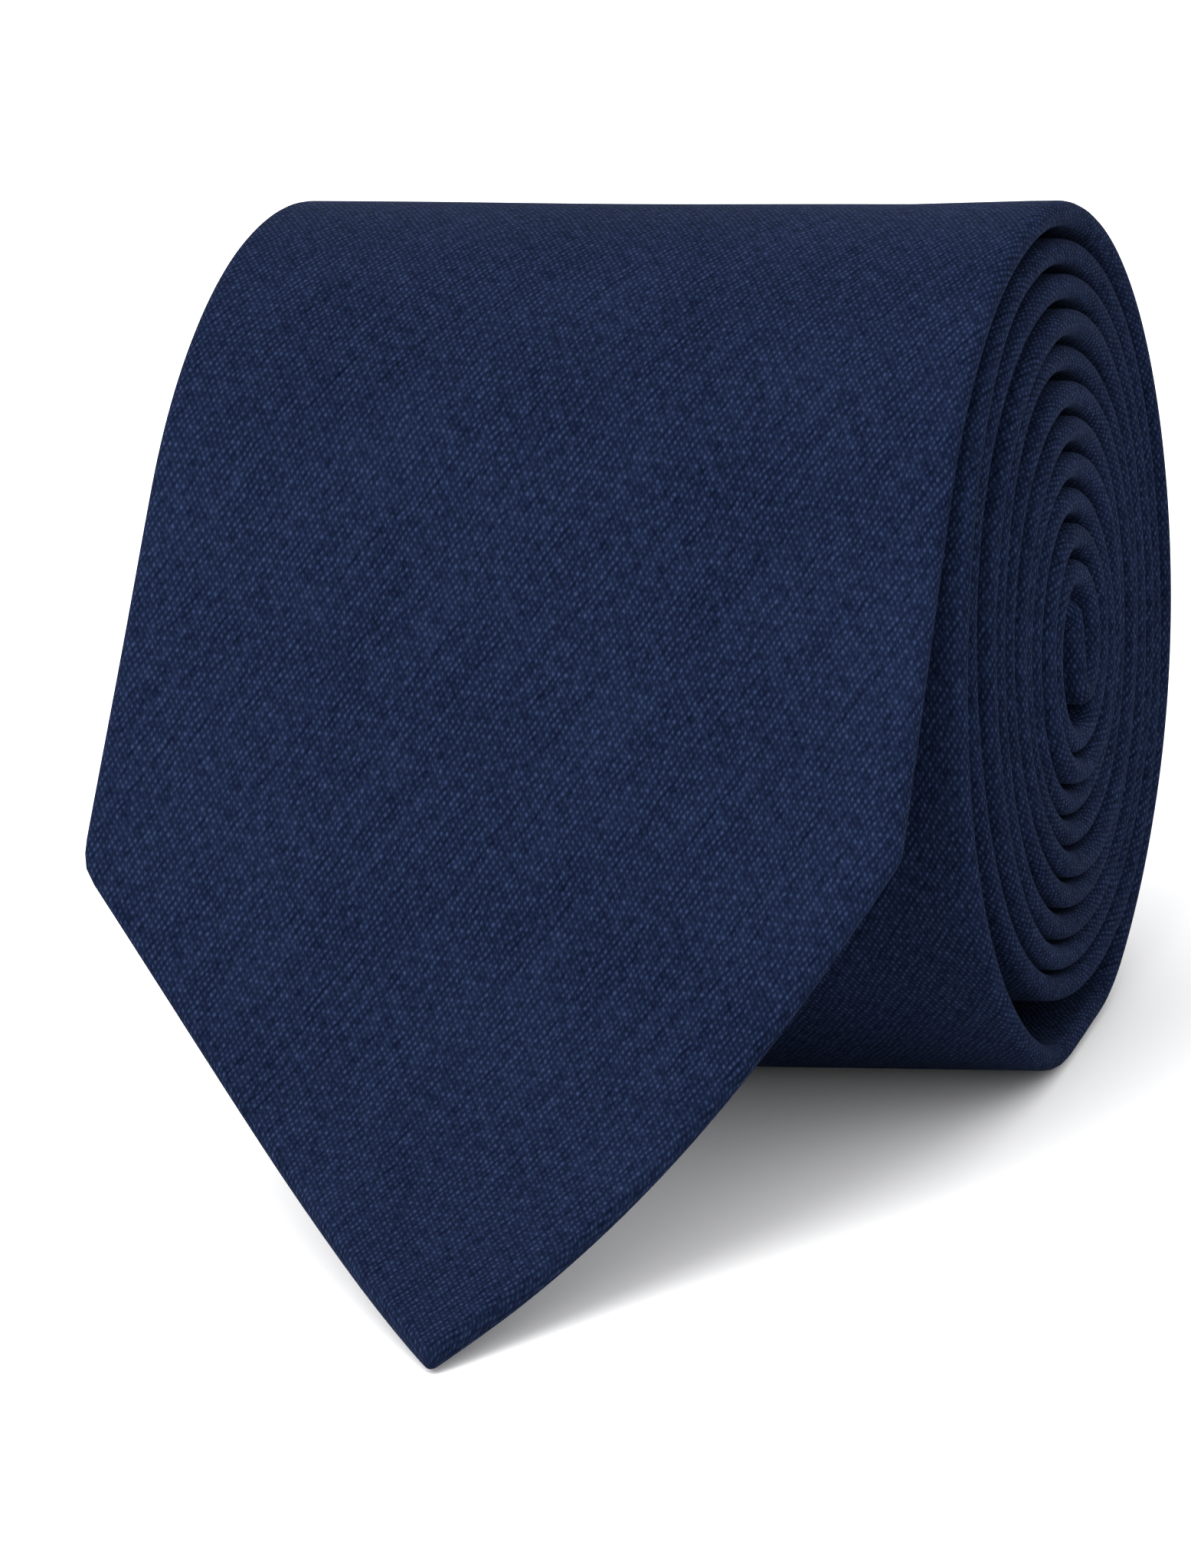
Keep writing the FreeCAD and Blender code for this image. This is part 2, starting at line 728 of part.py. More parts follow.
def add_bar_tack(doc, name, placement):
    """Bar tack: a small rounded bar of thread across the back seam."""
    bar = doc.addObject("Part::Box", name + "_bar")
    bar.setExpression("Length", "sizes.tack_length")
    bar.setExpression("Width", "sizes.tack_width")
    bar.setExpression("Height", "sizes.tack_height")
    bar.setExpression("Placement.Base.x", "-sizes.tack_length / 2")
    bar.setExpression("Placement.Base.y", "-sizes.tack_width / 2")
    bar.setExpression("Placement.Base.z", "-sizes.tack_height / 2")
    doc.recompute()
    tack = doc.addObject("Part::Fillet", name)
    tack.Base = bar
    radius = bar.Height.Value * ROUNDING
    along_x = [i for i, e in enumerate(bar.Shape.Edges, start=1)
               if abs(e.tangentAt(e.FirstParameter).x) > 0.9]
    tack.Edges = [(i, radius, radius) for i in along_x]
    tack.Label = name
    tack.Placement = placement


def add_care_label(doc, name, placement):
    """Blank care label: a padded rectangle with rounded corners."""
    get = doc.getObject("sizes").get
    body = doc.addObject("PartDesign::Body", name)
    body.Label = name
    sketch = body.newObject("Sketcher::SketchObject", name + "_outline")
    plane = next(f for f in body.Origin.OriginFeatures if f.Role == "XY_Plane")
    sketch.AttachmentSupport = [(plane, "")]
    sketch.MapMode = "FlatFace"
    corners = [(-1, -1), (1, -1), (1, 1), (-1, 1)]
    for start, end in zip(corners, corners[1:] + corners[:1]):
        sketch.addGeometry(Part.LineSegment(FreeCAD.Vector(*start, 0),
                                            FreeCAD.Vector(*end, 0)))
    constraint = Sketcher.Constraint
    for index in range(4):
        sketch.addConstraint(constraint("Coincident", index, 2, (index + 1) % 4, 1))
    sketch.addConstraint(constraint("Horizontal", 0))
    sketch.addConstraint(constraint("Horizontal", 2))
    sketch.addConstraint(constraint("Vertical", 1))
    sketch.addConstraint(constraint("Vertical", 3))
    sketch.addConstraint(constraint("Symmetric", 0, 1, 1, 2, -1, 1))
    across = sketch.addConstraint(constraint("DistanceX", 0, 1, 0, 2, get("care_span")))
    along_route = sketch.addConstraint(constraint("DistanceY", 1, 1, 1, 2, get("care_width")))
    sketch.setExpression("Constraints[%d]" % across, "sizes.care_span")
    sketch.setExpression("Constraints[%d]" % along_route, "sizes.care_width")
    pad = body.newObject("PartDesign::Pad", name + "_cloth")
    pad.Profile = sketch
    pad.setExpression("Length", "sizes.label_thickness")
    body.Tip = pad
    body.Placement = placement


def check(doc, names):
    """Stop if an object failed or a node's shape is empty or invalid."""
    for item in doc.Objects:
        if "Invalid" in item.State or "Error" in item.State:
            raise RuntimeError("%s failed to recompute" % item.Label)
    for name in names:
        shape = find(doc, name).Shape
        if shape.isNull() or not shape.isValid() or shape.Volume <= 0:
            raise RuntimeError("%s has no valid solid" % name)


def find(doc, label):
    """The object of the document with this label."""
    return doc.getObjectsByLabel(label)[0]


def main():
    """Build the document, check it and write one STEP file for each node."""
    doc = FreeCAD.newDocument("rolled_necktie")
    sheet = make_sheet(doc)
    route = Route(sheet.get)
    edges = Edges(route)
    cloth = Cloth(route, edges)
    pieces = cloth.all()
    add_cloth(doc, pieces)
    core_bow = bow(sheet.get("tack_width"), sheet.get("core_height") / 2 - route.thickness)
    tack_lift = sheet.get("layer_gap") + sheet.get("tack_height") / 2 + core_bow
    rest_bow = bow(sheet.get("care_width"), sheet.get("rest_corner") - route.thickness)
    care_lift = rest_bow + sheet.get("label_thickness")
    add_bar_tack(doc, "bar_tack_blade",
                 lay_on_back(route, edges, sheet.get("blade_tack"), tack_lift))
    add_bar_tack(doc, "bar_tack_tail",
                 lay_on_back(route, edges, cloth.tail_tack, tack_lift))
    add_care_label(doc, "care_label",
                   lay_on_back(route, edges, sheet.get("care_place"), care_lift))
    doc.recompute()
    names = list(pieces) + ["bar_tack_blade", "bar_tack_tail", "care_label"]
    check(doc, names)
    os.makedirs("parts", exist_ok=True)
    for name in names:
        find(doc, name).Shape.exportStep("parts/%s.step" % name)
    print("strip length %.1f mm, roll top at %.1f, bend at %.1f from the point"
          % (route.total(), route.marks["top"], route.marks["flare"]))
    print("bend hinge at y %.3f z %.3f" % route.flare_hinge)


main()
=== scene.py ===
import json
import logging
import math
from dataclasses import dataclass, field
from enum import Enum
from typing import Callable, Sequence

import bmesh
import bpy
import numpy as np
from mathutils import Matrix, Vector

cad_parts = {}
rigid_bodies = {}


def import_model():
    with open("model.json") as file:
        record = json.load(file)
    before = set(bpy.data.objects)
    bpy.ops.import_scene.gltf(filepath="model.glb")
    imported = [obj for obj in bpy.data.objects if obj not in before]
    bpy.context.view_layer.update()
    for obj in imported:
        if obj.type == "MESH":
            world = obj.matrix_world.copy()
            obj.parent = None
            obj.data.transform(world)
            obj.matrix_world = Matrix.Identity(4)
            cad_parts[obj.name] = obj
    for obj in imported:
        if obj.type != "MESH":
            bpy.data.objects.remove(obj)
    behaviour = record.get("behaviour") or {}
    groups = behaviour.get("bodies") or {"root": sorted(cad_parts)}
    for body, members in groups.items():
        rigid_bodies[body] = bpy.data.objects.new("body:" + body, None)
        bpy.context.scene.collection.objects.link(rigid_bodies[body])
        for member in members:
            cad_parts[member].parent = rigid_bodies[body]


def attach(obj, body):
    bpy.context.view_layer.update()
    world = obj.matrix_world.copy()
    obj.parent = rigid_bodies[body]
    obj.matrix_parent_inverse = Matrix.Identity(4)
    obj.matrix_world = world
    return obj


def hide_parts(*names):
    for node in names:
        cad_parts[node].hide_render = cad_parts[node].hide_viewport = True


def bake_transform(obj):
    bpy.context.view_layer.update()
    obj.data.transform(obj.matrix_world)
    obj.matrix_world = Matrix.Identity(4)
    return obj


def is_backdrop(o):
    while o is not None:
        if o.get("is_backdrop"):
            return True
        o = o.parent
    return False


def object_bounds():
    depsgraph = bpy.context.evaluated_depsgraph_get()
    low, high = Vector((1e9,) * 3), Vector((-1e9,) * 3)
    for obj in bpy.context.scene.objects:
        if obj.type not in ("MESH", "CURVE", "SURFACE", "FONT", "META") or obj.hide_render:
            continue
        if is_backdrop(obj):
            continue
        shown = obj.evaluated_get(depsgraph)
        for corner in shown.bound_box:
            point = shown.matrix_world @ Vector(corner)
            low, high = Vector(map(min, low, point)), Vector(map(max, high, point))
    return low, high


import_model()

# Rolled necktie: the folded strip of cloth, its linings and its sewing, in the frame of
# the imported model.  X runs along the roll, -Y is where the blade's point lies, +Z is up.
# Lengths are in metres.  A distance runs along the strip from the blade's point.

LOG = logging.getLogger("necktie")
MM = 0.001
# Turns a stitch over, onto the back of the strip.
FACE_DOWN = Matrix.Rotation(math.pi, 4, "Y")


class Body(Enum):
    """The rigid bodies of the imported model."""

    ROLL = "roll"
    BLADE = "blade"
    POINT = "point"


class Slot(Enum):
    """The record's material slots."""

    SHELL = "shell_cloth"
    INTERLINING = "interlining_cloth"
    LINING = "lining_cloth"
    THREAD = "sewing_thread"
    LABEL = "label_cloth"


class Held(Enum):
    """How a sheet of cloth is held."""

    DRAPED = "draped"
    FOLDED = "folded"
    LAID = "laid"


def fade_in(value: np.ndarray, start: float, length: float) -> np.ndarray:
    """Rises from 0 to 1 over a length that begins at the start."""
    return np.clip((value - start) / length, 0.0, 1.0)


def fade_out(value: np.ndarray, end: float, length: float) -> np.ndarray:
    """Falls from 1 to 0 over a length that finishes at the end."""
    return np.clip((end - value) / length, 0.0, 1.0)


def bump(value: np.ndarray, at: float, length: float) -> np.ndarray:
    """Smooth rise and fall round a place, 1 at its top."""
    return np.exp(-((value - at) / length) ** 2)


# ---------------------------------------------------------------------------------------
# The line that the strip follows
# ---------------------------------------------------------------------------------------


@dataclass
class FoldLine:
    """The line that the middle of the strip follows, from the blade's point to the tail's.

    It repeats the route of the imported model, worked out from the same sizes.
    """

    roll_height: float = 72.0 * MM
    blade_slope: float = 53.4
    flare_radius: float = 61.7 * MM
    flare_slope: float = 15.25
    flare_run: float = 4.7 * MM
    thickness: float = 2.35 * MM
    top_gap: float = 0.65 * MM
    bottom_gap: float = 0.25 * MM
    core_height: float = 13.5 * MM
    keeper_room: float = 2.0 * MM
    core_shift: float = 1.0 * MM
    rest_width: float = 11.0 * MM
    rest_corner: float = 22.0 * MM
    core_wrap: float = 55.0
    core_bend: float = 3.0 * MM
    tail_fold: float = 0.2 * MM
    fold_room: float = 0.5 * MM
    tail_drop: float = 2.3 * MM
    sample_step: float = 0.1 * MM
    bend_share: float = 0.05
    bend_step: float = 0.4 * MM
    longest_step: float = 1.3 * MM
    end_step: float = 0.12 * MM
    end_growth: float = 0.12
    shortest_step: float = 0.1 * MM
    runs: list = field(default_factory=list)

    def __post_init__(self) -> None:
        """Lay out the runs and bends, then sample the line finely."""
        self._blade()
        self.top_at = self._length()
        self._outer_turn()
        self._inner_turns()
        self._tail_end()
        self.length = self._length()
        self._sample()

    def _top(self, turn: int) -> float:
        """Height of the outer face at the top of a turn."""
        return self.roll_height - turn * (self.thickness + self.top_gap)

    def _bottom(self, turn: int) -> float:
        """Height of the outer face at the bottom of a turn."""
        if turn == 0:
            return 0.0
        return self.keeper_room + turn * (self.thickness + self.bottom_gap)

    def _turn_count(self) -> int:
        """Turns inside the outermost top layer, as many as leave room for the core."""
        turn = 1
        while self._top(turn + 1) - self._bottom(turn + 1) >= self.core_height:
            turn += 1
        return turn

    def _length(self) -> float:
        """Length of the line so far, at the middle of the strip."""
        return sum(self._run_length(*run) for run in self.runs)

    def _run_length(self, turn: int, run: float, angle: float) -> float:
        """Length of one run or bend, at the middle of the strip."""
        return run if turn == 0 else (run - turn * self.thickness / 2) * angle

    def _straight(self, run: float) -> None:
        """Add a straight run."""
        self.runs.append((0, run, 0.0))

    def _inwards(self, radius: float, angle: float) -> None:
        """Add a bend towards the roll, by the radius of the outer face."""
        self.runs.append((1, radius, angle))

    def _outwards(self, radius: float, angle: float) -> None:
        """Add a bend away from the roll, by the radius of the outer face."""
        self.runs.append((-1, radius, angle))

    def _blade(self) -> None:
        """Lay out the blade, from its point to the top of the roll."""
        steep = math.radians(self.blade_slope)
        shallow = math.radians(self.flare_slope)
        over = self._top(1) / 2 + self._top(0) - self._top(1)
        end_height = self.thickness * math.cos(shallow)
        fixed = (over * (1 - math.cos(steep))
                 + self.flare_radius * (math.cos(shallow) - math.cos(steep))
                 + self.flare_run * math.sin(shallow))
        run = (self.roll_height - end_height - fixed) / math.sin(steep)
        reach = (over * math.sin(steep) + run * math.cos(steep)
                 + self.flare_radius * (math.sin(steep) - math.sin(shallow))
                 + self.flare_run * math.cos(shallow))
        self.start = (-reach, end_height, shallow)
        self._straight(self.flare_run)
        self._outwards(self.flare_radius, steep - shallow)
        self.flare_at = self._length()
        self._straight(run)
        self._inwards(over, steep)

    def _rested_radius(self, height: float) -> float:
        """Radius of a round turn of this height whose bottom is flattened."""
        half = self.rest_width / 2
        lift = height - self.rest_corner
        return (lift ** 2 + half ** 2 - self.rest_corner ** 2) / (2 * (lift - self.rest_corner))

    def _outer_turn(self) -> None:
        """Lay out the outermost turn, with its flat rest."""
        half = self.rest_width / 2
        back = self._rested_radius(self._top(0))
        front = self._rested_radius(self._top(1))
        back_corner = math.asin(half / (back - self.rest_corner))
        front_corner = math.asin(half / (front - self.rest_corner))
        self._inwards(back, math.pi - back_corner)
        self._inwards(self.rest_corner, back_corner)
        self._straight(self.rest_width)
        self._inwards(self.rest_corner, front_corner)
        self._inwards(front, math.pi - front_corner)
        self._straight(self.core_shift)

    def _inner_turns(self) -> None:
        """Lay out the turns inside the outermost one."""
        for turn in range(1, self._turn_count()):
            self._inwards((self._top(turn) - self._bottom(turn)) / 2, math.pi)
            self._inwards((self._top(turn + 1) - self._bottom(turn)) / 2, math.pi)

    def _tail_end(self) -> None:
        """Lay out the tail: a tight bend inside the core and a flap folded on itself."""
        last = self._turn_count()
        wrap = math.radians(self.core_wrap)
        radius = (self._top(last) - self._bottom(last)) / 2
        bend_height = (self._top(last) - radius
                       - (radius - self.core_bend) * math.sin(wrap))
        fold_height = self._top(last) - self.fold_room - self.tail_fold - 2 * self.thickness
        flap = fold_height - bend_height
        self._inwards(radius, math.pi / 2 + wrap)
        self._inwards(self.core_bend, math.pi - wrap)
        self._straight(flap)
        self._outwards(self.tail_fold, math.pi)
        self._straight(flap + self.tail_drop)

    def _sample(self) -> None:
        """Follow the runs in small steps and keep distance, place, heading and bend."""
        half = self.thickness / 2
        y, z, heading = self.start
        y += half * math.sin(heading)
        z -= half * math.cos(heading)
        rows = [(0.0, y, z, heading, 1.0)]
        distance = 0.0
        for turn, run, angle in self.runs:
            length = self._run_length(turn, run, angle)
            radius = 1.0 if turn == 0 else length / angle
            count = max(2, int(length / self.sample_step))
            for index in range(1, count + 1):
                share = index / count
                if turn == 0:
                    place = (y + length * share * math.cos(heading),
                             z + length * share * math.sin(heading), heading)
                else:
                    now = heading - turn * angle * share
                    side = turn * radius
                    place = (y + side * (math.sin(heading) - math.sin(now)),
                             z - side * (math.cos(heading) - math.cos(now)), now)
                rows.append((distance + length * share, *place, radius))
            distance += length
            y, z, heading = rows[-1][1:4]
        self.samples = np.array(rows)

    def at(self, distance: np.ndarray) -> tuple[np.ndarray, np.ndarray, np.ndarray]:
        """Y, Z and heading of the strip's middle at each distance."""
        table = self.samples
        return tuple(np.interp(distance, table[:, 0], table[:, c]) for c in (1, 2, 3))

    def bend_radius(self, distance: float) -> float:
        """Radius of the bend at a distance."""
        row = min(np.searchsorted(self.samples[:, 0], distance), len(self.samples) - 1)
        return float(self.samples[row, 4])

    def point(self, distance: float) -> tuple[float, float, float]:
        """The strip's middle at a distance, as a point of the frame with X at 0."""
        y, z, _ = self.at(np.array([distance]))
        return 0.0, float(y[0]), float(z[0])

    def stations(self, first: float, last: float) -> np.ndarray:
        """Distances from first to last, closer together in tight bends and at the ends."""
        found = [first]
        while found[-1] < last:
            here = found[-1]
            step = max(self.bend_share * self.bend_radius(here), self.bend_step)
            end = min(here, self.length - here)
            step = min(step, self.longest_step, self.end_step + self.end_growth * max(end, 0.0))
            found.append(here + step)
        found[-1] = last
        if len(found) > 2 and last - found[-2] < self.shortest_step:
            del found[-2]
        return np.array(found)


@dataclass
class Outline:
    """How wide the strip is along its length, and where its middle lies along X."""

    line: FoldLine
    blade_width: float = 70.0 * MM
    blade_point: float = 53.2 * MM
    corner_skew: float = 1.9 * MM
    blade_drift: float = 3.35 * MM
    tip_offset: float = 1.0 * MM
    top_width: float = 67.0 * MM
    neck_width: float = 36.0 * MM
    tail_width: float = 46.0 * MM
    tail_point: float = 10.0 * MM
    taper_end: float = 780.0 * MM
    neck_end: float = 1060.0 * MM
    core_stand_out: float = 1.5 * MM
    roundness: float = 0.7 * MM
    corner_reach: float = 1.0 * MM
    left_spread: float = 0.45 * MM
    left_spread_at: float = 112.0 * MM
    right_spread: float = 0.60 * MM
    right_spread_at: float = 152.0 * MM
    spread_length: float = 50.0 * MM
    easing_steps: int = 9

    def __post_init__(self) -> None:
        """Work out the middle and the half width at the places where they change."""
        top = self.line.top_at
        end = self.line.length
        corner = end - self.tail_point
        right_top = self.top_width / 2

        def right(distance: float) -> float:
            """Right edge inside the roll."""
            return right_top + self.core_stand_out * (distance - top) / (corner - top)

        neck = self.neck_width / 2
        tail = self.tail_width / 2
        rows = [(0.0, self.tip_offset, self.blade_width / 2),
                (self.blade_point, -self.blade_drift, self.blade_width / 2),
                (top, 0.0, right_top),
                (self.taper_end, right(self.taper_end) - neck, neck),
                (self.neck_end, right(self.neck_end) - neck, neck),
                (corner, right(corner) - tail, tail),
                (end, right(corner) - tail, tail)]
        self.knots = np.array(rows)

    def _averaged(self, distance: np.ndarray, reach: float | np.ndarray,
                  value: Callable[[np.ndarray], np.ndarray]) -> np.ndarray:
        """Mean of a value over a short reach to each side, which eases its corners."""
        shares = np.linspace(-1.0, 1.0, self.easing_steps)
        return sum(value(distance + share * reach) for share in shares) / len(shares)

    def middle(self, distance: np.ndarray) -> np.ndarray:
        """X of the strip's middle."""
        left, right = self._sides(distance)
        line = self._averaged(distance, self.corner_reach,
                              lambda at: np.interp(at, self.knots[:, 0], self.knots[:, 1]))
        return line + (right - left) / 2

    def half(self, distance: np.ndarray) -> np.ndarray:
        """Half the strip's width, rounded at both points and eased at the corners."""
        left, right = self._sides(distance)
        return (left + right) / 2

    def middle_at(self, distance: float) -> float:
        """X of the strip's middle at one distance."""
        return float(self.middle(np.array([distance]))[0])

    def _sides(self, distance: np.ndarray) -> tuple[np.ndarray, np.ndarray]:
        """Width to the left and to the right of the middle line, which differ a little."""
        left = self._side(distance, self.blade_point - self.corner_skew)
        right = self._side(distance, self.blade_point)
        left = left + self._spread(distance, self.left_spread, self.left_spread_at)
        right = right + self._spread(distance, self.right_spread, self.right_spread_at)
        return left, right

    def _spread(self, distance: np.ndarray, size: float, at: float) -> np.ndarray:
        """Extra width where the cloth is pressed flat round a place."""
        extra = size * bump(distance, at, self.spread_length)
        return extra * fade_in(distance, self.blade_point / 2, self.blade_point)

    def _side(self, distance: np.ndarray, corner: float) -> np.ndarray:
        """Half width for a blade whose corner lies at the given distance."""
        def width(at: np.ndarray) -> np.ndarray:
            """Half width before its corners are eased."""
            blade = self._point_half(at, corner, self.blade_width / 2)
            tail = self._point_half(self.line.length - at, self.tail_point,
                                    self.tail_width / 2)
            strip = np.interp(at, self.knots[:, 0], self.knots[:, 2])
            return np.minimum(np.minimum(strip, blade), tail)

        return self._averaged(distance, np.minimum(self.corner_reach, distance), width)

    def _point_half(self, distance: np.ndarray, length: float, half: float) -> np.ndarray:
        """Half width of a pointed end whose very tip is rounded."""
        blunt = self.roundness
        slope = half / (length + blunt)
        run = np.maximum(distance, 0.0) + blunt
        return slope * np.sqrt(run ** 2 - blunt ** 2)


@dataclass
class Wander:
    """The small unevenness of hand-rolled cloth, the same for every layer of the strip."""

    line: FoldLine
    blade: float = 0.10 * MM
    rolled: float = 0.05 * MM
    blade_end: float = 150.0 * MM
    blade_fade: float = 50.0 * MM
    long_wave: tuple = (13.1 * MM, 15.3 * MM)
    short_wave: tuple = (4.7 * MM, 6.1 * MM)
    short_size: float = 0.4
    seams: tuple = (760.0 * MM, 1070.0 * MM)
    pucker: float = 0.10 * MM
    pucker_length: float = 0.9 * MM
    bulge: float = 0.40 * MM
    bulge_at: float = 128.0 * MM
    bulge_length: float = 30.0 * MM
    bulge_x: float = 20.0 * MM
    bulge_fade: float = 12.0 * MM
    drawn_in: float = 0.55 * MM
    drawn_in_at: float = 212.0 * MM
    drawn_in_length: float = 20.0 * MM
    end_fade: float = 6.0 * MM
    sideways: float = 0.22 * MM
    aside_from: float = 140.0 * MM
    aside_fade: float = 60.0 * MM

    def lift(self, distance: np.ndarray, x: np.ndarray) -> np.ndarray:
        """How far the cloth stands proud of its line."""
        free = fade_out(distance, self.blade_end, self.blade_fade)
        size = self.rolled + (self.blade - self.rolled) * free
        long = (np.sin(distance / self.long_wave[0] + 0.7)
                * np.cos(x / self.long_wave[1] + 0.4))
        short = self.short_size * np.sin(distance / self.short_wave[0]
                                         - x / self.short_wave[1] + 2.0)
        lift = size * (long + short)
        for seam in self.seams:
            lift = lift - self.pucker * bump(distance, seam, self.pucker_length)
        lift = lift + (self.bulge * bump(distance, self.bulge_at, self.bulge_length)
                       * fade_in(x, self.bulge_x, self.bulge_fade))
        lift = lift - self.drawn_in * bump(distance, self.drawn_in_at, self.drawn_in_length)
        return lift * fade_in(np.minimum(distance, self.line.length - distance), 0.0,
                              self.end_fade)

    def aside(self, distance: np.ndarray) -> np.ndarray:
        """How far the strip lies to one side of its true place."""
        inside = (fade_in(distance, self.aside_from, self.aside_fade)
                  * fade_out(distance, self.line.length - self.aside_fade, self.aside_fade))
        wave = (np.sin(distance / (21.3 * MM) + 1.1) + 0.6 * np.sin(distance / (9.2 * MM) + 0.3)
                + 0.9 * np.sin(distance / (57.0 * MM) + 2.2))
        return self.sideways * wave * inside


# ---------------------------------------------------------------------------------------
# Meshes
# ---------------------------------------------------------------------------------------


def deselect_all() -> None:
    """Leave nothing selected and nothing active."""
    for each in bpy.context.view_layer.objects:
        each.select_set(False)
    bpy.context.view_layer.objects.active = None


def smooth(piece: bpy.types.Object, crease_angle: float) -> None:
    """Smooth the shading, apart from edges sharper than an angle in degrees."""
    deselect_all()
    piece.select_set(True)
    bpy.context.view_layer.objects.active = piece
    bpy.ops.object.shade_smooth_by_angle(angle=math.radians(crease_angle))
    deselect_all()


def place_in_scene(name: str, data: bpy.types.ID) -> bpy.types.Object:
    """New object of the scene that holds the given data."""
    made = bpy.data.objects.new(name, data)
    bpy.context.scene.collection.objects.link(made)
    return made


@dataclass
class ClothBuilder:
    """Turns flat layers of cloth into thin closed meshes along the fold line."""

    line: FoldLine
    outline: Outline
    wander: Wander
    crease_angle: float = 48.0
    merge_distance: float = 0.002 * MM
    sliver_length: float = 0.0001 * MM

    def place(self, distance: np.ndarray, x: np.ndarray, height: np.ndarray) -> np.ndarray:
        """Points of the frame.

        Args:
            distance: distances along the strip, one for each row.
            x: places across the strip, row by row.
            height: heights above the strip's middle, towards its outer face.

        Returns:
            An array of rows, columns and coordinates.
        """
        y, z, heading = self.line.at(distance)
        lift = height + self.wander.lift(distance[:, None], x)
        aside = self.wander.aside(distance)[:, None]
        return np.stack([x + aside,
                         y[:, None] - lift * np.sin(heading)[:, None],
                         z[:, None] + lift * np.cos(heading)[:, None]], axis=-1)

    def slab(self, name: str, outer: np.ndarray, inner: np.ndarray,
             pattern: np.ndarray) -> bpy.types.Object:
        """Thin closed sheet between two grids of points.

        Args:
            name: name of the new piece.
            outer: grid of points of one face.
            inner: grid of points of the other face, in the same order.
            pattern: where each point lies on the flat cloth, in millimetres.

        Returns:
            The new piece, with its own UV map.
        """
        rows, columns = outer.shape[:2]
        size = rows * columns
        grid = np.arange(size).reshape(rows, columns)
        here, right = grid[:-1, :-1].ravel(), grid[:-1, 1:].ravel()
        above, across = grid[1:, :-1].ravel(), grid[1:, 1:].ravel()
        faces = [np.stack([here, right, across, above], axis=1),
                 np.stack([here, above, across, right], axis=1) + size]
        for first, second in ((grid[:-1, 0], grid[1:, 0]), (grid[1:, -1], grid[:-1, -1]),
                              (grid[0, 1:], grid[0, :-1]), (grid[-1, :-1], grid[-1, 1:])):
            faces.append(np.stack([first, second, second + size, first + size], axis=1))
        points = np.concatenate([outer.reshape(-1, 3), inner.reshape(-1, 3)])
        mesh = bpy.data.meshes.new(name)
        mesh.from_pydata(points.tolist(), [], np.concatenate(faces).tolist())
        marks = np.concatenate([pattern.reshape(-1, 2)] * 2)
        corners = np.empty(len(mesh.loops), np.int32)
        mesh.loops.foreach_get("vertex_index", corners)
        layer = mesh.uv_layers.new(name="cloth")
        layer.data.foreach_set("uv", marks[corners].astype(np.float32).ravel())
        piece = place_in_scene(name, mesh)
        self.close_up(piece)
        return piece

    def close_up(self, piece: bpy.types.Object) -> None:
        """Merge points that meet, turn the faces outwards and smooth the shading."""
        shape = bmesh.new()
        shape.from_mesh(piece.data)
        bmesh.ops.remove_doubles(shape, verts=shape.verts, dist=self.merge_distance)
        bmesh.ops.dissolve_degenerate(shape, edges=shape.edges, dist=self.sliver_length)
        bmesh.ops.recalc_face_normals(shape, faces=shape.faces)
        shape.to_mesh(piece.data)
        shape.free()
        smooth(piece, self.crease_angle)

    def band(self, name: str, span: tuple[float, float],
             edges: Callable[[np.ndarray], tuple[np.ndarray, np.ndarray]],
             heights: tuple[float, float], columns: int = 22,
             rounding: float = 0.6 * MM) -> tuple[bpy.types.Object, float]:
        """Layer of cloth with rounded edges.

        Args:
            name: name of the new piece.
            span: first and last distance along the strip.
            edges: gives the left and right edge at each distance.
            heights: height of the outer and of the inner face.
            columns: steps across the layer.
            rounding: how far in from the edge the rounding reaches.

        Returns:
            The new piece and its flat area.
        """
        distance = self.line.stations(*span)
        left, right = edges(distance)
        shares = (1 - np.cos(np.linspace(0, math.pi, columns + 1))) / 2
        x = left[:, None] + (right - left)[:, None] * shares
        inset = np.minimum(x - left[:, None], right[:, None] - x)
        full = 1 - np.clip(inset / rounding, 0, 1)
        thick = (heights[0] - heights[1]) / 2 * np.sqrt(1 - full ** 2)
        middle = (heights[0] + heights[1]) / 2
        outer = self.place(distance, x, middle + thick)
        inner = self.place(distance, x, middle - thick)
        pattern = np.stack([x, np.broadcast_to(distance[:, None], x.shape)], axis=-1) / MM
        return self.slab(name, outer, inner, pattern), area_of(distance, right - left)

    def frame_at(self, distance: float, x: float, height: float) -> Matrix:
        """Local axes on the strip: X across, Y along and Z towards the outer face."""
        here = self.place(np.array([distance]), np.array([[x]]), np.array([[height]]))[0, 0]
        _, _, heading = self.line.at(np.array([distance]))
        turn = Matrix.Rotation(float(heading[0]), 4, "X")
        return Matrix.Translation(Vector(here)) @ turn


def area_of(distance: np.ndarray, width: np.ndarray) -> float:
    """Flat area of cloth whose width is known at each distance."""
    return float(((width[1:] + width[:-1]) / 2 * np.diff(distance)).sum())


# ---------------------------------------------------------------------------------------
# Finishes
# ---------------------------------------------------------------------------------------


